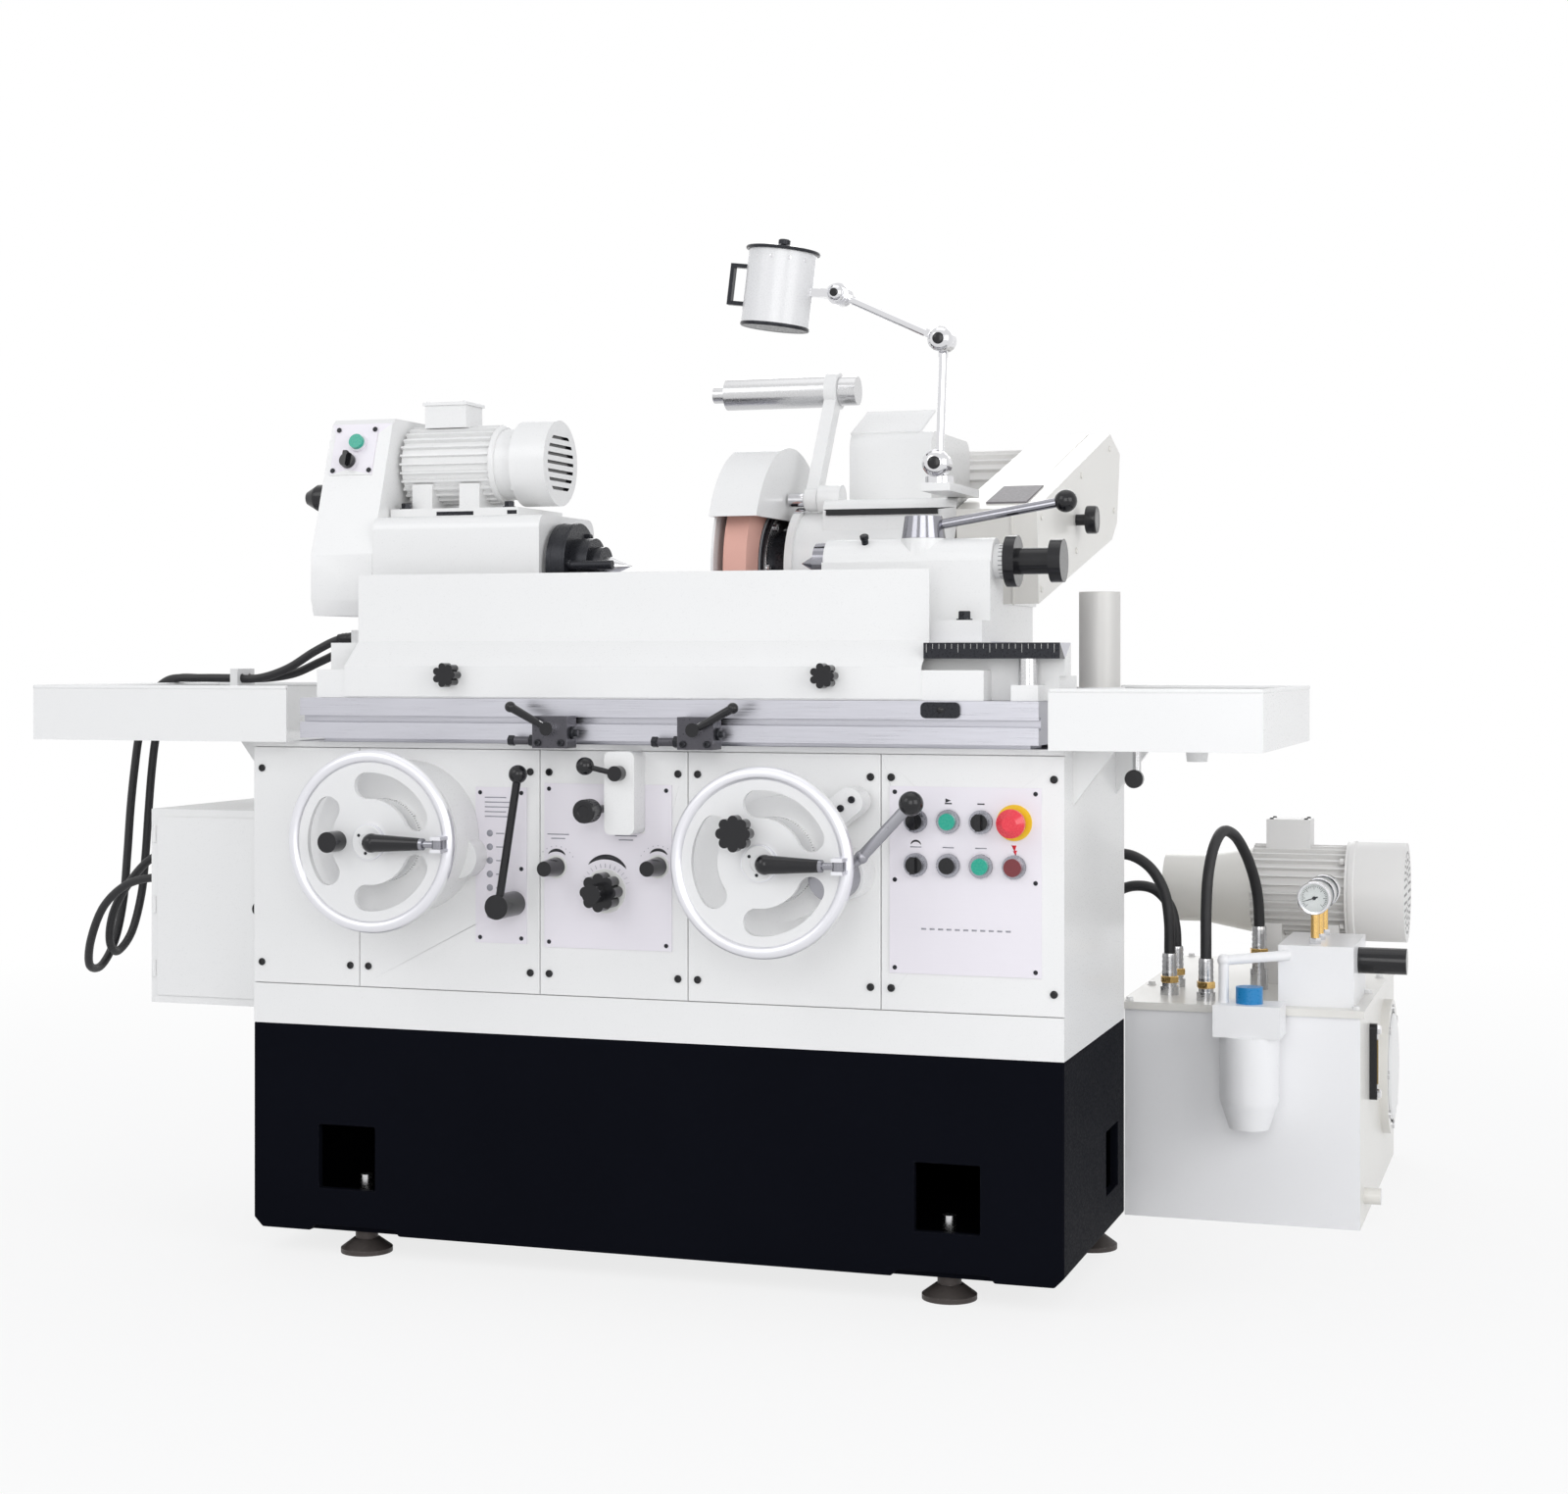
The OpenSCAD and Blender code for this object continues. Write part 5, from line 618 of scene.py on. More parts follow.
class Bench:
    """Collects faces in machine millimetres and turns them into one piece."""

    def __init__(self):
        self.mesh = bmesh.new()
        self.ink = 0

    def face(self, corners):
        made = self.mesh.faces.new(corners)
        made.material_index = self.ink
        made.smooth = True

    def lathe(self, base, axis, profile, sides=40):
        """profile is a list of (distance along the axis, radius)."""
        axis = Vector(axis).normalized()
        side = axis.orthogonal().normalized()
        other = axis.cross(side)
        rings = []
        for along, radius in profile:
            middle = Vector(base) + axis * along
            count = sides if radius > 0 else 1
            rings.append([self.mesh.verts.new(spot(middle + radius * (
                side * math.cos(k * math.tau / sides) + other * math.sin(k * math.tau / sides))))
                for k in range(count)])
        for low, high in zip(rings, rings[1:]):
            for k in range(sides):
                four = [low[k % len(low)], low[(k + 1) % len(low)], high[(k + 1) % len(high)], high[k % len(high)]]
                corners = [v for i, v in enumerate(four) if v not in four[:i]]
                if len(corners) > 2:
                    self.face(corners)
        for ring in (rings[0], rings[-1]):
            if len(ring) > 2:
                self.face(ring)

    def prism(self, outline, base, u, v, depth):
        """outline is a list of (s, t); a corner lies at base + s*u + t*v, and depth is a vector."""
        low = [Vector(base) + Vector(u) * s + Vector(v) * t for s, t in outline]
        ends = [[self.mesh.verts.new(spot(p + Vector(depth) * k)) for p in low] for k in (0, 1)]
        self.face(list(reversed(ends[0])))
        self.face(ends[1])
        for i in range(len(low)):
            j = (i + 1) % len(low)
            self.face([ends[0][i], ends[0][j], ends[1][j], ends[1][i]])

    def block(self, x0, x1, y0, y1, z0, z1):
        self.prism([(0, 0), (1, 0), (1, 1), (0, 1)], (x0, y0, z0), (x1 - x0, 0, 0), (0, y1 - y0, 0), (0, 0, z1 - z0))

    def done(self, name, finishes, body, edge=0.3):
        """Makes the piece, rounds its edges and lets it ride on its body."""
        bmesh.ops.recalc_face_normals(self.mesh, faces=self.mesh.faces)
        data = bpy.data.meshes.new(name)
        self.mesh.to_mesh(data)
        self.mesh.free()
        for made in finishes:
            data.materials.append(made)
        made = bpy.data.objects.new(name, data)
        scene.collection.objects.link(made)
        if edge:
            bevel = made.modifiers.new("edge", "BEVEL")
            bevel.width = edge * MM
            bevel.segments = 2
            bevel.limit_method = "ANGLE"
            bevel.angle_limit = math.radians(35)
            made.modifiers.new("normals", "WEIGHTED_NORMAL")
        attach(made, body)
        print(name, len(data.polygons), "faces")
        return made


def circle(radius, sides, turn=0.0, centre=(0, 0)):
    """An outline with equal sides, such as a hexagon."""
    return [(centre[0] + radius * math.cos(math.tau * k / sides + turn),
             centre[1] + radius * math.sin(math.tau * k / sides + turn)) for k in range(sides)]


FRONT, UP, RIGHT = (0, -1, 0), (0, 0, 1), (1, 0, 0)

# %% [markdown]
# ### Socket screws of the covers
# The covers are held by low button-head screws with a socket. A lathe profile that goes in again
# at its middle gives both the rounded head and the socket. The stop knob beside them is knurled.

# %% Cover screws and the reversing stop
SEAMS = (-446.5, -153, 77.5, 365)
bench = Bench()
for x in [s + d for s in SEAMS for d in (-15, 15)] + [-611, 611]:
    for z in (437, 731):
        bench.lathe((x, 0, z), FRONT, [(0.1, 5.5), (1.8, 5.5), (2.9, 4.4), (3, 2.9), (1.2, 2.8), (1.2, 0)], 24)
knob = (-54, -2, 679)
bench.lathe(knob, FRONT, [(0, 6), (40, 6), (42, 16), (44, 17), (46, 16.4), (68, 16.4), (70, 17), (72, 15), (72, 9), (70.6, 8), (70.6, 0)])
for k in range(28):
    a = math.tau * k / 28
    bench.prism(circle(0.9, 6, centre=(16.4 * math.cos(a), 16.4 * math.sin(a))), (knob[0], -48, knob[2]), RIGHT, UP, (0, -22, 0))
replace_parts(bench.done("cover_socket_screws", [black], "base"), "cover_screws")

# %% [markdown]
# ### Marks on the control plates
# The real plates are printed with symbols. Here they carry generic marks only: curved wedges for
# less and more, tick scales and plain dashes. Each mark is a thin inlay, so it shows from any side.

# %% Printed marks


def wedge(centre, radius, start, stop, thick, steps=18):
    """A curved mark that grows from nothing to its full thickness."""
    inner, outer = [], []
    for k in range(steps + 1):
        a = math.radians(start + (stop - start) * k / steps)
        w = 0.3 + thick * math.sin(math.pi * k / steps) ** 0.7
        inner.append((centre[0] + radius * math.cos(a), centre[1] + radius * math.sin(a)))
        outer.append((centre[0] + (radius + w) * math.cos(a), centre[1] + (radius + w) * math.sin(a)))
    return inner + outer[::-1]


PLATE_Y = -2.05
bench = Bench()


def mark(outline, grey=False):
    bench.ink = 1 if grey else 0
    bench.prism(outline, (0, PLATE_Y, 0), RIGHT, UP, (0, -0.25, 0))


def dash(x, z, w, h, grey=True):
    mark([(x, z), (x + w, z), (x + w, z + h), (x, z + h)], grey)


for x, z in ((-126, 593.5), (32.5, 597.6)):
    mark(wedge((x, z), 22, 125, 50, 4))
    for k in range(9):
        a = math.radians(30 + 15 * k)
        dash(x + 30 * math.cos(a) - 0.6, z + 30 * math.sin(a) - 0.6, 1.2, 1.2)
mark(wedge((-49, 560), 46, 125, 45, 7))
for k in range(13):
    a = math.radians(20 + 140 * k / 12)
    mark([(-49 + r * math.cos(a) + s, 560 + r * math.sin(a)) for r, s in ((34, -0.4), (40, -0.4), (40, 0.4), (34, 0.4))], True)
for row in range(5):
    dash(-240, 692 - 7 * row, 34 + 9 * (row % 3), 1.6)
for row in range(7):
    z = 640 - 20 * row
    mark(circle(5, 20, centre=(-232, z)), True)
    dash(-222, z - 0.8, 13, 1.6)
for x in (-100, 6):
    dash(x - 40, 640, 34, 1.6)
    dash(x - 34, 634, 22, 1.6)
print("marks on the lever and control plates")

# %% Marks of the operator plate, and one inlay of all marks
for x in (416, 462.5, 509):
    dash(x - 5, 695, 10, 1.8, grey=False)
    dash(x - 8, 634, 16, 1.6)
mark([(x + 462.5, z + 700) for x, z in ((-4, -3), (4, 0), (-4, 3))])
mark(wedge((416, 634), 8, 150, 30, 2.5))
bench.ink = 2
bench.prism([(552, 640), (556, 632), (554, 632), (558, 626), (560, 633), (557, 633), (559, 640)], (0, PLATE_Y, 0),
            RIGHT, UP, (0, -0.25, 0))
for k in range(11):
    dash(424 + 12 * k, 520, 7, 2.4)
bench.done("plate_marks", [ink, pale_ink, red], "base", edge=0)

# %% [markdown]
# ### Handwheel collars
# Behind each wheel sits a collar with a scale, from which the operator reads the feed. Its ticks are
# longer at every fifth and tenth, as on any graduated dial.

# %% Scale collars and hub caps
for name, x, z, face, out in (("table", -363, 633, -92, -134), ("infeed", 230, 617, -76, -134)):
    bench = Bench()
    for k in range(100):
        a = math.tau * k / 100
        long = 9 if k % 10 == 0 else 6.5 if k % 5 == 0 else 4
        across = Vector((-math.sin(a), 0, math.cos(a)))
        along = Vector((math.cos(a), 0, math.sin(a)))
        base = Vector((x, face + 3.5, z)) + along * 60 - across * 0.35
        bench.prism([(0, 0), (1, 0), (1, 1), (0, 1)], base, across * 0.7, (0, long, 0), along * 0.2)
    bench.done(name + "_scale_ticks", [ink], "base", edge=0)
    bench = Bench()
    bench.lathe((x, out, z), FRONT, [(0.05, 24.4), (2.4, 24.4), (3.4, 23), (3.4, 12), (2.5, 11), (2.5, 4), (4.4, 3.4), (4.4, 0)])
    bench.ink = 1
    for k in range(3):
        a = math.tau * k / 3 + 0.4
        bench.lathe((x + 16 * math.cos(a), out - 3.3, z + 16 * math.sin(a)), FRONT, [(0, 2.4), (0.9, 2.4), (1.3, 1.6), (0.5, 1.4), (0.5, 0)], 12)
    bench.done(name + "_wheel_cap", [wheel_white, blued], name + "_wheel")
    bench = Bench()
    bench.lathe((x + 28, -150, z), (-1, 0, 0), [(0, 8)] + [(14 - 14 * math.cos(t / 12 * math.pi), max(0, 14 * math.sin(t / 12 * math.pi))) for t in range(3, 13)], 32)
    bench.done(name + "_grip_ball", [black], name + "_grip", edge=0)

# %% Lug of the infeed housing
bench = Bench()
tilt = math.radians(38)
away, along_rim = (math.cos(tilt), 0, math.sin(tilt)), (-math.sin(tilt), 0, math.cos(tilt))
tongue = [(96, -20), (134, -20)] + [(134 + 18 * math.sin(math.pi * k / 8), -20 * math.cos(math.pi * k / 8)) for k in range(1, 8)]
tongue += [(134, 20), (96, 20)]
bench.ink = 0
bench.prism(tongue, (230, -12, 617), away, along_rim, (0, -44, 0))
bench.ink = 1
for r in (118, 138):
    bench.lathe((230 + r * away[0], -56, 617 + r * away[2]), FRONT, [(-1, 5), (2.6, 5), (3.4, 4.2), (3.4, 2.6), (1.4, 2.4), (1.4, 0)], 20)
bench.done("infeed_housing_lug", [white, blued], "base", edge=1)

# %% [markdown]
# ### Pressure gauges
# A gauge is read through glass, so it needs depth: a white dial, ticks over three quarters of
# a turn, a needle on its boss, clear glass and a rolled bezel.

# %% Gauge dials
bench = Bench()
panes = Bench()
for y in (702, 770, 838):
    c = (886, y - 12, 515)
    bench.ink = 0
    bench.lathe(c, FRONT, [(0.05, 22), (0.5, 22), (0.5, 0)])
    bench.ink = 1
    for k in range(31):
        a = math.radians(225 - 9 * k)
        r0 = 14 if k % 5 == 0 else 17
        bench.prism([(r0, -0.35), (20, -0.35), (20, 0.35), (r0, 0.35)], (c[0], c[1] - 0.5, c[2]),
                    (math.cos(a), 0, math.sin(a)), (-math.sin(a), 0, math.cos(a)), (0, -0.2, 0))
    a = math.radians(200 - y % 50)
    bench.prism([(-6, -1.2), (-6, 1.2), (17, 0.3), (17, -0.3)], (c[0], c[1] - 1.1, c[2]),
                (math.cos(a), 0, math.sin(a)), (-math.sin(a), 0, math.cos(a)), (0, -0.3, 0))
    bench.lathe((c[0], c[1] - 0.5, c[2]), FRONT, [(0, 3), (1.6, 2.6), (1.6, 0)], 20)
    bench.ink = 2
    bench.lathe(c, FRONT, [(-4, 26.6), (2.4, 26.6), (3.6, 25.2), (3.4, 22.6), (0.2, 22.3)])
    bench.lathe((886, y, 441), UP, [(0, 10), (9, 10), (10, 8.5), (10, 6)], 6)
    panes.lathe(c, FRONT, [(2, 22.4), (2.8, 22.4), (2.8, 0)])
bench.done("gauge_dials", [dial_white, ink, chrome], "base", edge=0.2)
panes.done("gauge_glasses", [glass], "base", edge=0)

# %% [markdown]
# ### Hose ends and cable glands
# A hydraulic hose ends in a steel ferrule that is crimped in rings round the rubber, over a
# hexagon nut. A cable leaves a box through a gland with a tapered sleeve.

# %% Ferrules and nuts
bench = Bench()
crimp = [(-2, 9.4), (-2, 12), (4, 12.4), (8, 11.4), (12, 12.4), (16, 11.4), (20, 12.4), (24, 11.4), (28, 12.2), (34, 11.2), (34, 9.2)]
for place, way in (((714, 690, 379), UP), ((777, 860, 416), UP), ((646, 745, 379), UP), ((640, 850, 379), UP),
                   ((458, 760, 540), RIGHT), ((458, 850, 476), RIGHT)):
    bench.ink = 0
    bench.lathe(place, way, [(along * (0.6 if way == RIGHT else 1), r) for along, r in crimp])
    bench.ink = 1 if way == UP else 0
    down = Vector(place) - Vector(way) * 14
    bench.lathe(down, way, [(0, 15), (1, 16), (10, 16), (11, 15), (11, 9)], 6)
bench.done("hose_ferrules", [steel, brass], "base")

# %% Cable glands and sleeves
bench = Bench()
for place, way in (((-640, 360, 930), (-1, 0, 0)), ((-640, 384, 912), (-1, 0, 0)),
                   ((-855, 275, 535), (-1, 0, 0)), ((-855, 310, 580), (-1, 0, 0))):
    bench.lathe(place, way, [(0, 12), (8, 12), (9, 10.5), (14, 10.2), (16, 9.6), (20, 9.9), (22, 9), (26, 9.3), (28, 8.4), (34, 7.7), (34, 7)], 24)
bench.done("cable_sleeves", [black], "base")

# %% [markdown]
# ### Hydraulic tank
# The lid is bolted all round, the big hatch has a pressed rim, and the oil level shows in
# a framed glass between two banjo bolts.

# %% Tank details
bench = Bench()
lid_bolts = [(x, y) for x in (597, 955) for y in (652, 860, 1075, 1288)] + [(776, 652), (776, 1288)]
for x, y in lid_bolts:
    bench.lathe((x, y, 345), UP, [(0.05, 8), (1.2, 8), (1.2, 6.2), (5.4, 6.2), (6, 5.4), (6, 0)], 6)
bench.lathe((976, 1095, 190), RIGHT, [(0.05, 96), (0.05, 92), (4, 88), (4.6, 84), (4.6, 0)])
for z in (188, 292):
    bench.ink = 1
    bench.lathe((974, 815, z), RIGHT, [(0, 8), (5, 8), (6, 6.6), (6, 0)], 6)
bench.done("tank_bolts", [white, chrome], "base")
bench = Bench()
bench.block(974, 976, 809, 821, 204, 276)
bench.done("oil_level_glass", [finish("oil_glass", (0.30, 0.20, 0.05), 0.12, coat=0.8, tone=0.2, relief=0.02)],
           "base")

# %% [markdown]
# ### Motors
# A fan cowl is perforated so that air can pass, a terminal box has four screws in its lid, and
# cast fins end at a shield that is bolted to the frame.

# %% Cowl holes and terminal box screws
bench = Bench()
# The cowl's holes are flat black discs: painted shade for the dark seen through the perforation.
for r, count in ((20, 8), (32, 14), (44, 20), (56, 26), (68, 32)):
    for k in range(count):
        a = math.tau * k / count
        bench.lathe((1008, 1000 + r * math.cos(a), 500 + r * math.sin(a)), RIGHT, [(0.05, 2.6), (0.3, 2.6), (0.3, 0)], 8)
for x in (783, 841):
    for y in (978, 1022):
        bench.lathe((x, y, 622), UP, [(0.05, 3.6), (1.6, 3.4), (2.2, 2.6), (1.2, 1.6), (1.2, 0)], 16)
bench.done("pump_motor_details", [black], "base", edge=0)
bench = Bench()
bench.lathe((914, 1000, 500), RIGHT, [(0, 84.3), (3, 86), (10, 86), (12, 84.3)], 64)
for k in range(4):
    a = math.tau * (k + 0.5) / 4
    bench.lathe((908, 1000 + 76 * math.cos(a), 500 + 76 * math.sin(a)), (-1, 0, 0), [(0, 6), (7, 6), (7.6, 5), (7.6, 0)], 6)
bench.done("pump_motor_band", [grey_paint], "base")

# %% Workhead motor: terminal box, shield bolts
bench = Bench()
bench.block(-420, -350, 166, 226, 1255, 1290)
bench.block(-423, -347, 163, 229, 1290, 1295)
for x in (-416, -354):
    for y in (170, 222):
        bench.lathe((x, y, 1295), UP, [(0, 3.4), (1.4, 3.4), (2, 2.4), (1, 1.4), (1, 0)], 16)
for k in range(4):
    a = math.tau * (k + 0.5) / 4
    bench.lathe((-262, 196 + 56 * math.cos(a), 1197.6 + 56 * math.sin(a)), (-1, 0, 0), [(-2, 5), (6, 5), (6.6, 4), (6.6, 0)], 6)
bench.lathe((-300, 196, 1197.6), RIGHT, [(0, 58), (0, 60.5), (6, 60.5), (8, 58)], 64)
# The blued hex bolts at the feet are real fittings, and their dark finish also stands in for the shadow under the
# motor's feet. The two thin dark strips below them are painted shadow under the feet.
bench.ink = 1
for x in (-436, -262):
    bench.lathe((x, 134, 1126.8), UP, [(0.05, 11), (2, 11), (2, 8), (9, 8), (10, 7), (10, 0)], 6)
for x0, x1, z in ((-374, -312, 1115.5), (-256, -240, 1116)):
    bench.block(x0, x1, 111.6, 113, z, z + 6)
bench.done("workhead_motor_details", [white, blued], "workhead")

# %% Screws of the workhead's small plate
bench = Bench()
slope = math.radians(18.58)
plate_up, plate_out = Vector((0, math.sin(slope), math.cos(slope))), Vector((0, -math.cos(slope), math.sin(slope)))
for dx in (-31, 31):
    for dz in (-34, 34):
        p = Vector((-513, 110.5, 1218.6)) + Vector((dx, 0, 0)) + plate_up * dz + plate_out * 2
        bench.lathe(p, plate_out, [(0.05, 4), (1.2, 4), (2, 3), (1, 1.6), (1, 0)], 16)
bench.done("small_plate_screws", [blued], "workhead")

# %% [markdown]
# ### Belt cover and wheel guard
# The belt cover is two pressed shells that meet in a seam, closed by a knob. Short screws hold
# the guard over the wheel.

# %% Cover seam and screws
BELT = [(283, 978), (269, 1120), (847, 1278), (937, 1251), (910, 1130), (865, 1100)]
middle = [sum(p[i] for p in BELT) / 6 for i in (0, 1)]
bench = Bench()
grown = [(p[0] + (p[0] - middle[0]) * 0.004, p[1] + (p[1] - middle[1]) * 0.012) for p in BELT]
bench.prism(grown, (488, 0, 0), (0, 1, 0), UP, (3, 0, 0))
for y, z in ((300, 1000), (300, 1108), (600, 1190), (840, 1252), (880, 1150), (560, 1068)):
    bench.lathe((528, y, z), RIGHT, [(0.05, 5), (1.4, 5), (2.2, 3.8), (1, 2.2), (1, 0)], 20)
# The seam takes the cover's cream, the painted shade of the white paint.
bench.done("belt_cover_seam", [cream_and_shade], "wheelhead")
bench = Bench()
bench.lathe((545, 560, 1117), RIGHT, [(0, 21.4), (2, 22.4), (15, 22.4), (17, 21), (17, 13), (15.5, 11), (15.5, 0)])
bench.done("belt_cover_knob_rim", [black], "wheelhead")

# %% Guard screws
bench = Bench()
for k in range(7):
    a = math.radians(8 + 24 * k)
    bench.lathe((42, 360 + 176 * math.cos(a), 1035.6 + 176 * math.sin(a)), (-1, 0, 0), [(0.05, 5.5), (3, 5.5), (4, 4.4), (4, 2.6), (2, 2.4), (2, 0)], 20)
bench.done("guard_screws", [black], "wheelhead")
print("wheelhead trimmed")

# %% [markdown]
# ### Grinding wheel
# Paper blotters lie between the wheel and its flanges, and the flange is drawn up with a ring
# of socket screws. A thin steel ring lies on the flange, just outside the screws.

# %% Blotters, flange screws
bench = Bench()
bench.ink = 0
bench.lathe((54.6, 360, 1035.6), RIGHT, [(0, 70), (0, 94), (2.2, 94), (2.2, 70)], 96)
bench.lathe((94.2, 360, 1035.6), RIGHT, [(0, 89), (0, 94), (1.2, 94), (1.2, 89)], 96)
bench.ink = 1
for k in range(6):
    a = math.tau * k / 6
    bench.lathe((101, 360 + 74 * math.cos(a), 1035.6 + 74 * math.sin(a)), RIGHT, [(0, 6), (5, 6), (5.8, 5), (5.8, 3), (2, 2.8), (2, 0)], 18)
bench.lathe((101, 360, 1035.6), RIGHT, [(0, 84), (1.6, 84), (1.6, 80), (0.2, 80)], 96)
bench.done("wheel_blotters", [blotter, steel], "wheel", edge=0.2)

# %% [markdown]
# ### Lamp
# A bench lamp with a bright metal head: a rolled rim at its mouth, a lid with dark edge, chrome
# caps on the three joints and a bulb in its socket.

# %% Lamp trim
lean = math.radians(7)
wrist = Vector((252.6, 175, 1433.7))
along = Vector((math.sin(lean), 0, math.cos(lean)))
out = Vector((-math.cos(lean), 0, math.sin(lean)))
foot = wrist + out * 96 - along * 56
bench = Bench()
bench.ink = 0
bench.lathe(foot, along, [(-1.5, 49), (-2, 50.5), (0, 52), (2.5, 51.8), (3.5, 51.05)], 64)
bench.lathe(foot, along, [(111.5, 51), (111.5, 55.2), (114, 55.8), (116.2, 54.6), (116.6, 51)], 64)
bench.lathe(foot, along, [(119, 5), (123, 5), (124, 9), (130, 9), (131.5, 7), (131.5, 0)], 24)
bench.prism([(-50, -5), (50, -5), (50, 5), (-50, 5)], foot + along * 57 + out * 49.5, along, FRONT, out * 3)
bench.ink = 1
bench.lathe(foot, along, [(115.8, 51.8), (116.2, 54.2), (118.5, 40), (120, 12), (120.5, 0)], 64)
for k in range(12):
    a = math.tau * k / 12
    side = out.cross(along)
    p = foot + along * 100 + (out * math.cos(a) + side * math.sin(a)) * 50.6
    bench.lathe(p, out * math.cos(a) + side * math.sin(a), [(0, 3), (0.7, 3), (0.7, 0)], 12)
bench.done("lamp_trim", [blued, chrome], "lamp_shade", edge=0.3)
for body, place, r in (("lamp_foot", (404, 175, 1180.3), 20), ("lamp_up", (410.3, 175, 1360.2), 18),
                       ("lamp_shade", (252.6, 175, 1433.7), 13)):
    bench = Bench()
    centre = (place[0], place[1] - 27, place[2])
    bench.lathe(centre, FRONT, [(-12, r * 0.9), (-10, r), (-2, r), (3, r * 0.82), (6, r * 0.5), (7, 0)], 36)
    bench.ink = 1
    bench.lathe(centre, FRONT, [(4, r * 0.5), (8, r * 0.46), (9, r * 0.36), (9, 0)], 24)
    bench.done(body + "_cap", [chrome, black], body)

# %% [markdown]
# ### Trays and box
# Sheet trays have a rolled rim so that the hand isn't cut. The electric box has a door with
# hinges and a lock.

# %% Rolled rims of the trays


def rim_tube(bench, corners, radius, sides=10):
    """A round bead along a line of corners, one straight bar for each side."""
    for a, b in zip(corners, corners[1:]):
        a, b = Vector(a), Vector(b)
        bench.lathe(a, b - a, [(0, radius), ((b - a).length, radius)], sides)
        bench.lathe(b - (b - a).normalized() * 0.01, b - a, [(0, radius), (radius * 0.7, radius * 0.7), (radius, 0)], sides)


bench = Bench()
rim_tube(bench, [(-545, -43, 853), (-983, -43, 853), (-983, 498, 853), (-547, 498, 853)], 3.4)
rim_tube(bench, [(614, -43, 853), (898, -43, 853), (898, 498, 853), (614, 498, 853)], 3.4)
bench.lathe((760, 300, 772), (0, 0, -1), [(0, 26), (6, 26), (7, 17), (26, 15), (26, 0)], 24)
bench.lathe((-700, 200, 772), (0, 0, -1), [(0, 26), (6, 26), (7, 17), (26, 15), (26, 0)], 24)
bench.done("tray_rims", [white], "base")
bench = Bench()
bench.lathe((700, 139, 772), (0, 0, -1), [(0, 9), (4, 9), (4, 6), (52, 6), (53, 5), (53, 0)], 20)
bench.ink = 1
bench.lathe((700, 134, 728), FRONT, [(0, 5), (6, 5), (6, 12), (9, 13), (20, 13), (22, 11.5), (22, 0)], 24)
bench.done("tray_valve", [steel, black], "base")

# %% Electric box door
bench = Bench()
bench.ink = 0
for z in (400, 500, 610):
    bench.lathe((-830, 50, z), UP, [(0, 4), (26, 4)], 16)
bench.ink = 1
bench.lathe((-645, 50, 511), FRONT, [(0, 11), (3, 11), (4.5, 9.4), (4.5, 0)], 28)
bench.block(-646, -644, 44.2, 45.6, 505, 517)
bench.done("box_hinges_and_lock", [white, black], "base")

# %% [markdown]
# ### Table, tailstock and workhead fittings
# Hexagon bolts in the table's slot hold the workhead and tailstock, oil cups feed their
# bearings, and fine scales show how far each was set over.

# %% Clamp bolts, oil cups, scales
bench = Bench()
for x in (-430, -205):
    bench.lathe((x, 49, 944.6), UP, [(0.05, 8), (2.8, 8), (3.8, 7), (3.8, 4.4), (1.4, 4.2), (1.4, 0)], 24)
bench.done("workhead_clamp_bolts", [blued], "swivel_table")
bench = Bench()
for x in (262, 470):
    bench.lathe((x, 60, 950.6), UP, [(0, 13), (2, 13), (2, 9.6), (12, 9.6), (13, 8.4), (13, 0)], 6)
bench.lathe((310, 112, 1060), (0, -0.5, 0.87), [(2, 5), (10, 5), (11, 6.4), (16, 6.4), (17, 5), (17, 0)], 20)
for k in range(24):
    a = math.tau * k / 24
    bench.prism([(0, -0.5), (6, -0.5), (6, 0.5), (0, 0.5)], (513.2, 130 + 25.1 * math.cos(a), 1035.6 + 25.1 * math.sin(a)),
                (-1, 0, 0), (0, -math.sin(a), math.cos(a)), (0, 0.2 * math.cos(a), 0.2 * math.sin(a)))
bench.done("tailstock_fittings", [blued], "tailstock")
bench = Bench()
for k in range(21):
    x = 434 + 9 * k
    bench.block(x, x + 0.5, -14.3, -14.05, 910 if k % 5 else 905, 917)
bench.done("table_scale_ticks", [dial_white], "swivel_table", edge=0)

# %% Driving plate grooves and screws
bench = Bench()
for x, r in ((-168, 65.1), (-150, 65.1)):
    bench.lathe((x, 130, 1035.6), RIGHT, [(0, r - 0.4), (0.4, r + 0.5), (2.6, r + 0.5), (3, r - 0.4)], 72)
for k in range(3):
    a = math.tau * k / 3 + 1.0
    bench.lathe((-143.5, 130 + 53 * math.cos(a), 1035.6 + 53 * math.sin(a)), RIGHT, [(0, 6), (6, 6), (7, 5), (7, 3), (3, 2.8), (3, 0)], 18)
bench.done("driving_plate_screws", [blued], "faceplate")

# %% Dogs: adjusting screws
for side, x in (("left", -110), ("right", 112)):
    bench = Bench()
    bench.lathe((x - 61.2, -47.3, 778.3), (-1, 0, 0), [(0, 6), (1, 8), (9, 8), (9.9, 7), (9.9, 0)], 6)
    bench.lathe((x - 30, -47.3, 778.3), (-1, 0, 0), [(0, 9), (7, 9), (8, 8), (8, 0)], 6)
    bench.lathe((x + 27, -47.3, 790), RIGHT, [(0, 9), (4, 9), (5, 8), (5, 5), (9, 5), (10, 4), (10, 0)], 18)
    bench.lathe((x - 18, -64.3, 776), FRONT, [(0, 5), (4, 5), (5, 4), (5, 2.5), (2, 2.4), (2, 0)], 18)
    bench.lathe((x + 18, -64.3, 776), FRONT, [(0, 5), (4, 5), (5, 4), (5, 2.5), (2, 2.4), (2, 0)], 18)
    bench.done("dog_screws_" + side, [blued], side + "_dog")
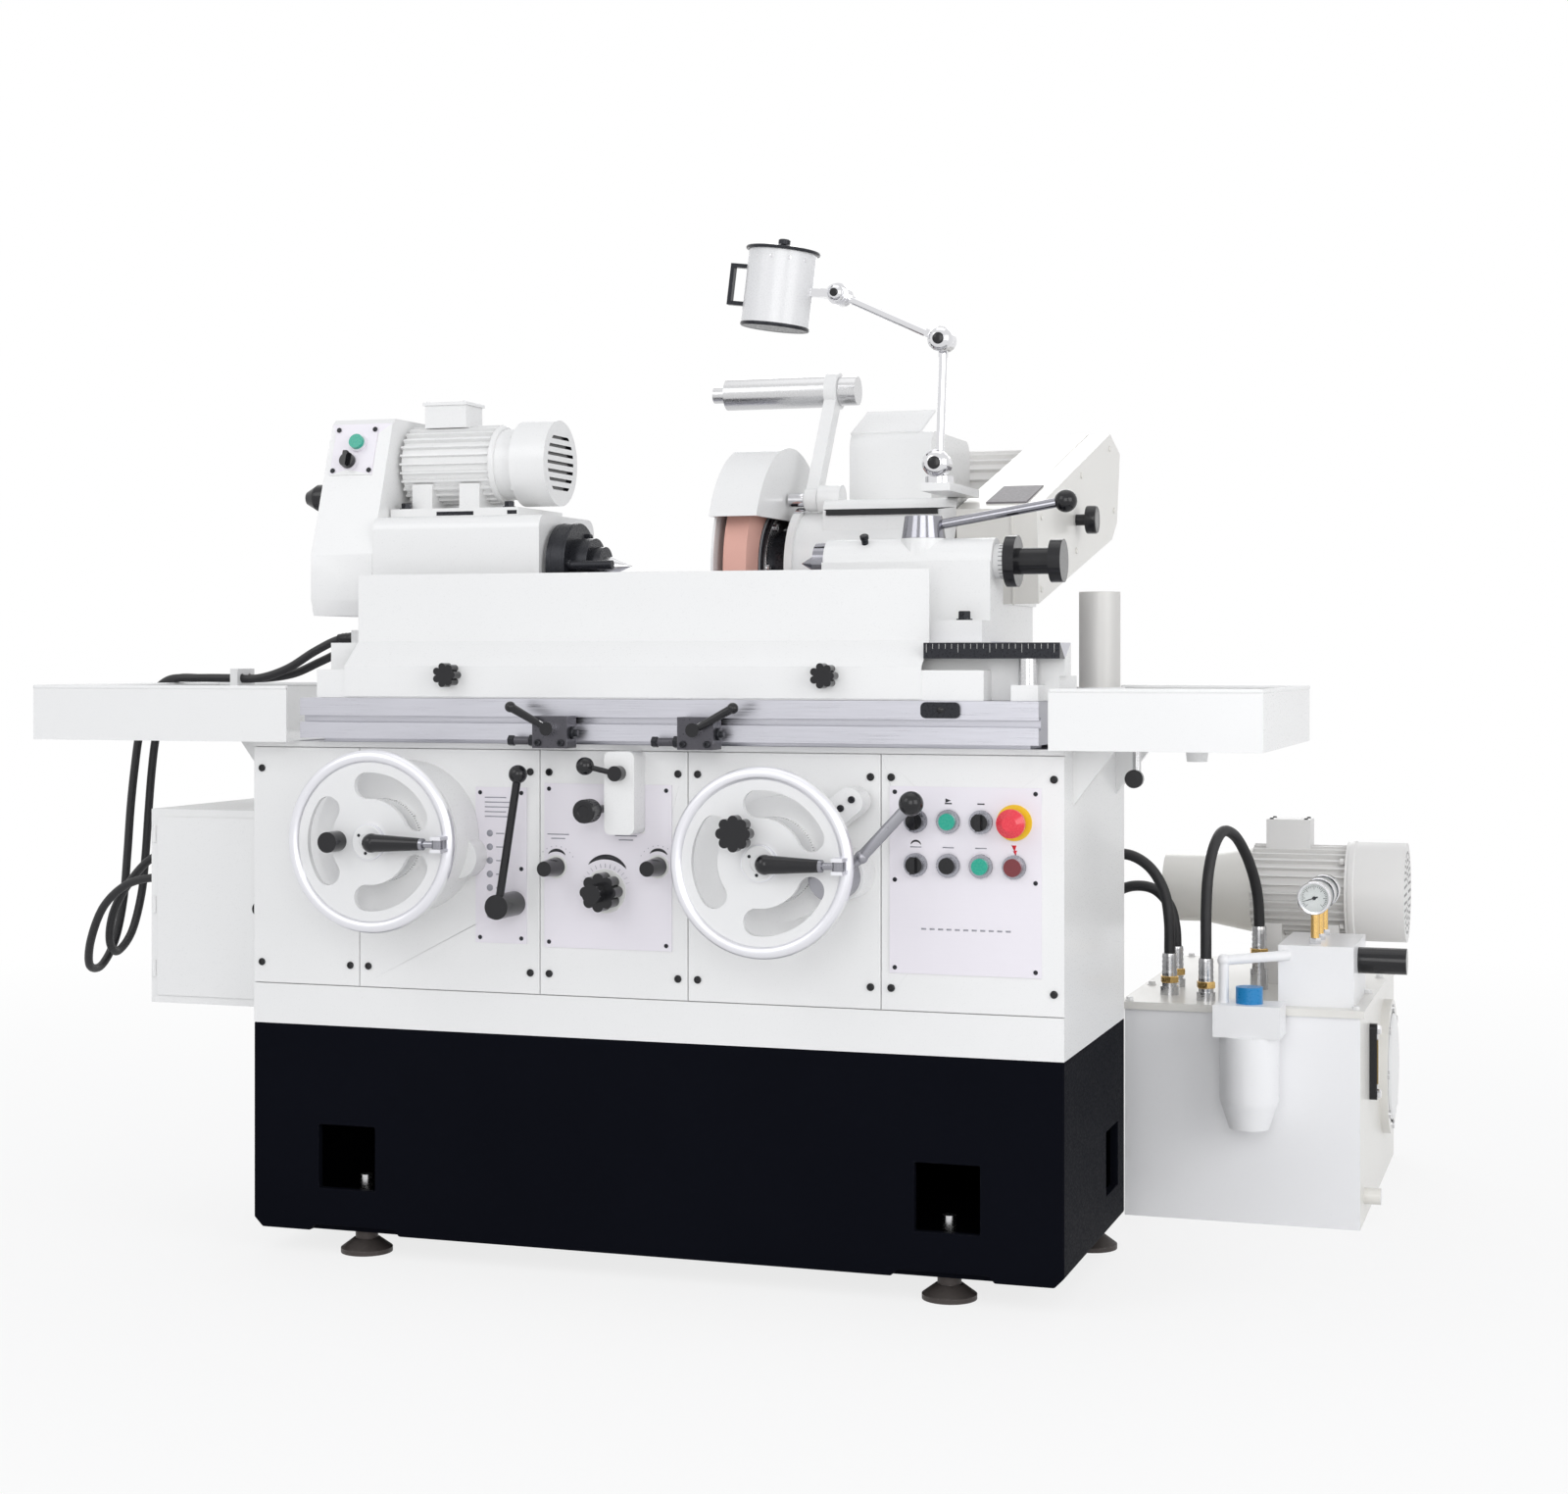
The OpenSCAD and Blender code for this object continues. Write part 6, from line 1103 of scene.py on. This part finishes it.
# A flat black disc on the rail's plate is painted shade, for the dark inside the stop's hole.
bench = Bench()
bench.lathe((459, -34, 826), FRONT, [(0.05, 5), (0.4, 5), (0.4, 0)], 24)
bench.done("rail_stop_hole_painted_shade", [black], "table", edge=0)

# %% [markdown]
# ## Light, floor and backdrop
# A photographer lights a white machine with big soft boxes. The floor and the sky read white to
# the camera and in reflections, while the light that falls on the paint stays moderate, so that
# white paint keeps its shading.

# %% World and floor


def light_path_mask(tree):
    """1 for camera, glossy and transmission rays, 0 for the light on the object."""
    path = add(tree, "ShaderNodeLightPath")
    seen = math_node(tree, "MAXIMUM", path.outputs["Is Camera Ray"], path.outputs["Is Glossy Ray"])
    return math_node(tree, "MAXIMUM", seen, path.outputs["Is Transmission Ray"])


world = bpy.data.worlds.new("studio")
scene.world = world
world.use_nodes = True
sky = world.node_tree
dim = add(sky, "ShaderNodeBackground", Color=(0.95, 0.965, 1, 1), Strength=0.64)
bright = add(sky, "ShaderNodeBackground", Color=(1, 1, 1, 1), Strength=1.0)
choose = add(sky, "ShaderNodeMixShader")
sky.links.new(light_path_mask(sky), choose.inputs[0])
sky.links.new(dim.outputs[0], choose.inputs[1])
sky.links.new(bright.outputs[0], choose.inputs[2])
sky.links.new(choose.outputs[0], sky.nodes["World Output"].inputs[0])

floor_mesh = bpy.data.meshes.new("floor")
R = 30
floor_mesh.from_pydata([(-R, -R, 0), (R, -R, 0), (R, R, 0), (-R, R, 0)], [], [(0, 1, 2, 3)])
floor = bpy.data.objects.new("floor", floor_mesh)
scene.collection.objects.link(floor)
pale = bpy.data.materials.new("pale_floor")
pale.use_nodes = True
ground_tree = pale.node_tree
matt = ground_tree.nodes["Principled BSDF"]
matt.inputs["Base Color"].default_value = (0.8, 0.8, 0.8, 1)
matt.inputs["Roughness"].default_value = 0.9
glow = add(ground_tree, "ShaderNodeEmission", Color=(1, 1, 1, 1), Strength=1.0)
lit = add(ground_tree, "ShaderNodeMixShader")
place = add(ground_tree, "ShaderNodeTexCoord")
away = add(ground_tree, "ShaderNodeVectorMath", operation="LENGTH")
ground_tree.links.new(place.outputs["Object"], away.inputs[0])
fade = add(ground_tree, "ShaderNodeMapRange", From_Min=1.2, From_Max=4.0, To_Min=0.8, To_Max=1.0)
ground_tree.links.new(away.outputs["Value"], fade.inputs["Value"])
ground_tree.links.new(
    math_node(ground_tree, "MULTIPLY", light_path_mask(ground_tree), fade.outputs[0]), lit.inputs[0]
)
ground_tree.links.new(matt.outputs[0], lit.inputs[1])
ground_tree.links.new(glow.outputs[0], lit.inputs[2])
ground_tree.links.new(lit.outputs[0], ground_tree.nodes["Material Output"].inputs[0])
floor.data.materials.append(pale)
print("floor and sky ready")

# %% Soft boxes
for name, place, aim, size, power in (
    ("key", (-2600, -3600, 3600), (0, 300, 700), 2.6, 36),
    ("front", (1300, -4600, 1900), (300, 300, 600), 2.6, 52),
    ("fill", (4200, -2200, 1900), (300, 500, 600), 2.6, 52),
    ("top", (300, 400, 4600), (100, 400, 800), 3.0, 14),
    ("back", (-800, 4600, 2600), (100, 600, 900), 2.6, 44),
):
    lamp = bpy.data.lights.new(name, "AREA")
    lamp.size = size
    lamp.energy = power
    box = bpy.data.objects.new(name, lamp)
    box.location = spot(place)
    box.rotation_euler = (spot(aim) - spot(place)).to_track_quat("-Z", "Y").to_euler()
    scene.collection.objects.link(box)
print("soft boxes ready")

# %% Last lines
bpy.context.view_layer.update()
